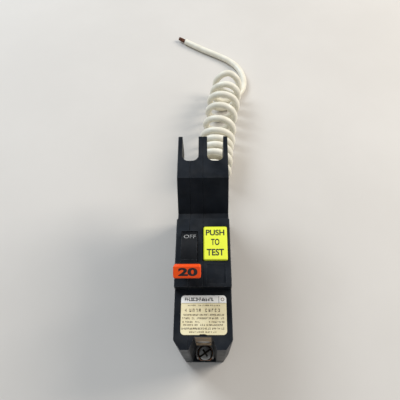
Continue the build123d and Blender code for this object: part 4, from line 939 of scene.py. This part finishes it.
# %% Every slot's finish
FINISHES = {
    "label_paper": label_film(),
    "case_phenolic": phenolic(),
    "handle_black": handle_plastic(),
    "handle_red": handle_red(),
    "button_yellow": button_yellow(),
    "insulation_white": insulation(),
    "bushing_grey": molded("bushing_grey", (0.26, 0.26, 0.26), (0.36, 0.36, 0.35), rough=(0.6, 0.75)),
    "insulation_black": molded("insulation_black", (0.02, 0.02, 0.02), (0.05, 0.05, 0.05)),
    "collar_grey": molded("collar_grey", (0.16, 0.15, 0.14), (0.24, 0.23, 0.21)),
    "nylon": molded("nylon", (0.72, 0.70, 0.62), (0.84, 0.82, 0.76)),
    "fibre": molded("fibre", (0.20, 0.11, 0.05), (0.34, 0.2, 0.1), rough=(0.7, 0.85), bump=0.05),
    "component_black": molded("component_black", (0.012, 0.012, 0.013), (0.03, 0.03, 0.03)),
    "component_blue": molded("component_blue", (0.02, 0.08, 0.36), (0.04, 0.14, 0.5), rough=(0.2, 0.3)),
    "component_tan": molded("component_tan", (0.55, 0.36, 0.15), (0.7, 0.5, 0.25), rough=(0.25, 0.35)),
    "board": molded("board", (0.01, 0.10, 0.035), (0.02, 0.17, 0.06), rough=(0.25, 0.4), bump=0.03),
    "potting": wound("potting", (0.05, 0.12, 0.2), (0.1, 0.2, 0.32), 0.8, "X"),
    "winding": wound("winding", (0.42, 0.11, 0.03), (0.58, 0.2, 0.07), 0.3, "Y"),
    "steel": metal("steel", (0.36, 0.36, 0.37), (0.55, 0.55, 0.56), (0.3, 0.48), (0.75, 0.75, 0.75)),
    "rivet_steel": metal("rivet_steel", (0.34, 0.34, 0.34), (0.5, 0.5, 0.49), (0.35, 0.5),
                         (0.7, 0.7, 0.7)),
    "screw_plated": screw_metal(),
    # Brass: the metal's own tone, darkened well below bright brass as painted shade of the recess it sits in.
    "brass": metal("brass", (0.17, 0.105, 0.045), (0.36, 0.25, 0.12), (0.35, 0.5), (0.5, 0.38, 0.2)),
    "copper": metal("copper", (0.48, 0.2, 0.1), (0.74, 0.36, 0.2), (0.3, 0.5), (0.86, 0.5, 0.32)),
    "braid_copper": metal("braid_copper", (0.4, 0.17, 0.08), (0.7, 0.34, 0.19), (0.35, 0.5),
                          (0.8, 0.45, 0.3), brushed=(8.0, 1.0, 8.0), bump=0.08),
    "silver_contact": metal("silver_contact", (0.6, 0.6, 0.58), (0.8, 0.8, 0.78), (0.2, 0.35),
                            (0.9, 0.9, 0.9)),
    "capacitor_can": metal("capacitor_can", (0.5, 0.5, 0.52), (0.66, 0.66, 0.68), (0.25, 0.35),
                           (0.8, 0.8, 0.8)),
    "bare_copper": metal("bare_copper", (0.05, 0.022, 0.014), (0.17, 0.075, 0.045), (0.45, 0.65),
                         (0.3, 0.15, 0.09)),
}
print("finishes", len(FINISHES))

# %% [markdown]
# ## Dressing the solid nodes
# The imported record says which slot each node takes, so one loop dresses them all, the inside pieces
# too. The new pieces are dressed by name, and the inks are finishes that no slot has.

# %% Assign finishes
slot_of = {entry["node"]: entry["material_slot"] for entry in frame["record"]["subparts"]}


def dress(piece, material):
    """Gives a piece one material."""
    piece.data.materials.clear()
    piece.data.materials.append(material)


for name, node in frame["nodes"].items():
    dress(node, FINISHES[slot_of[name]])
dress(pigtail, FINISHES["insulation_white"])
dress(strands, FINISHES["bare_copper"])
dress(label, FINISHES["label_paper"])
for spring_piece in (over_centre_spring, return_spring):
    dress(spring_piece, FINISHES["steel"])

# %% Inks
INK_MOTTLE = 900.0
INK_BUMP = 0.004
black_ink = finish("black_ink", ((0.006, 0.006, 0.007), (0.014, 0.014, 0.014)), (0.4, 0.5),
                   bump=INK_BUMP)
brown_ink = finish("brown_ink", ((0.10, 0.075, 0.05), (0.30, 0.24, 0.16)), (0.5, 0.6),
                   slow=INK_MOTTLE, bump=INK_BUMP)
worn_white = finish("worn_white", ((0.42, 0.42, 0.41), (0.16, 0.16, 0.16)), (0.5, 0.6),
                    slow=INK_MOTTLE, bump=INK_BUMP)
for mark, ink in (
    (off_mark, worn_white),
    (on_mark, worn_white),
    (rating_mark, black_ink),
    (button_mark, black_ink),
    (fine_print, brown_ink),
    (strip_print, black_ink),
    (emblem_ring, brown_ink),
):
    dress(mark, ink)
print("dressed nodes", len(frame["nodes"]), "materials", len(bpy.data.materials))

# %% [markdown]
# ## The studio
# The breaker lies on a pale floor. A large warm panel to the right and a cooler one at the upper
# left give soft crossing shadows, and a pale world fills the rest. Area lights are used because a
# small lamp would cut hard shadows.

# %% Floor
FLOOR_HALF = 1.6
FLOOR_SIDE = 41          # points along each side
FLOOR_DROP = 0.00002
BEND_START, BEND = 0.9, 0.5


def studio_floor():
    """A floor just under the base that curves up far behind: z is the bend times the square of the
    distance past its start."""
    along = np.linspace(-FLOOR_HALF, FLOOR_HALF, FLOOR_SIDE)
    x, y = np.meshgrid(along, along)
    z = BEND * np.clip(y - BEND_START, 0, None) ** 2 - FLOOR_DROP
    points = np.stack((x, y, z), -1).reshape(-1, 3)
    step = np.arange(FLOOR_SIDE - 1)
    low = (step[:, None] * FLOOR_SIDE + step[None, :]).ravel()
    faces = np.stack((low, low + 1, low + FLOOR_SIDE + 1, low + FLOOR_SIDE), -1).tolist()
    mesh = bpy.data.meshes.new("studio_floor")
    mesh.from_pydata(points.tolist(), [], faces)
    floor = bpy.data.objects.new("studio_floor", mesh)
    bpy.context.scene.collection.objects.link(floor)
    return floor


floor = studio_floor()
FLOOR_COLORS = ((0.60, 0.57, 0.53), (0.64, 0.61, 0.57))
dress(floor, finish("floor_paper", FLOOR_COLORS, (0.7, 0.8), slow=8.0, bump=0.05))
print("floor points", len(floor.data.vertices))

# %% Lights and world
AIM = (0, 0.03, 0.03)
PANEL_POWER = 7.0
WORLD_COLOR, WORLD_STRENGTH = (0.86, 0.9, 0.95, 1), 0.45


def soft_panel(name, place, aim, size, power, color):
    """A rectangular area light that looks at a point."""
    data = bpy.data.lights.new(name, "AREA")
    data.shape = "RECTANGLE"
    data.size, data.size_y = size
    data.energy = power
    data.color = color
    lamp = bpy.data.objects.new(name, data)
    lamp.location = place
    lamp.rotation_euler = (Vector(aim) - Vector(place)).to_track_quat("-Z", "Y").to_euler()
    bpy.context.scene.collection.objects.link(lamp)


soft_panel("warm_panel", (0.75, 0.3, 0.55), AIM, (0.4, 0.4), PANEL_POWER, (1.0, 0.93, 0.84))
soft_panel("cool_panel", (-0.55, 0.6, 0.7), AIM, (0.5, 0.5), PANEL_POWER, (0.86, 0.93, 1.0))

world = bpy.data.worlds.new("studio_world")
world.use_nodes = True
background = world.node_tree.nodes["Background"]
background.inputs["Color"].default_value = WORLD_COLOR
background.inputs["Strength"].default_value = WORLD_STRENGTH
bpy.context.scene.world = world
bpy.context.scene.view_settings.view_transform = "Standard"
print("lights", [light.name for light in bpy.data.lights])
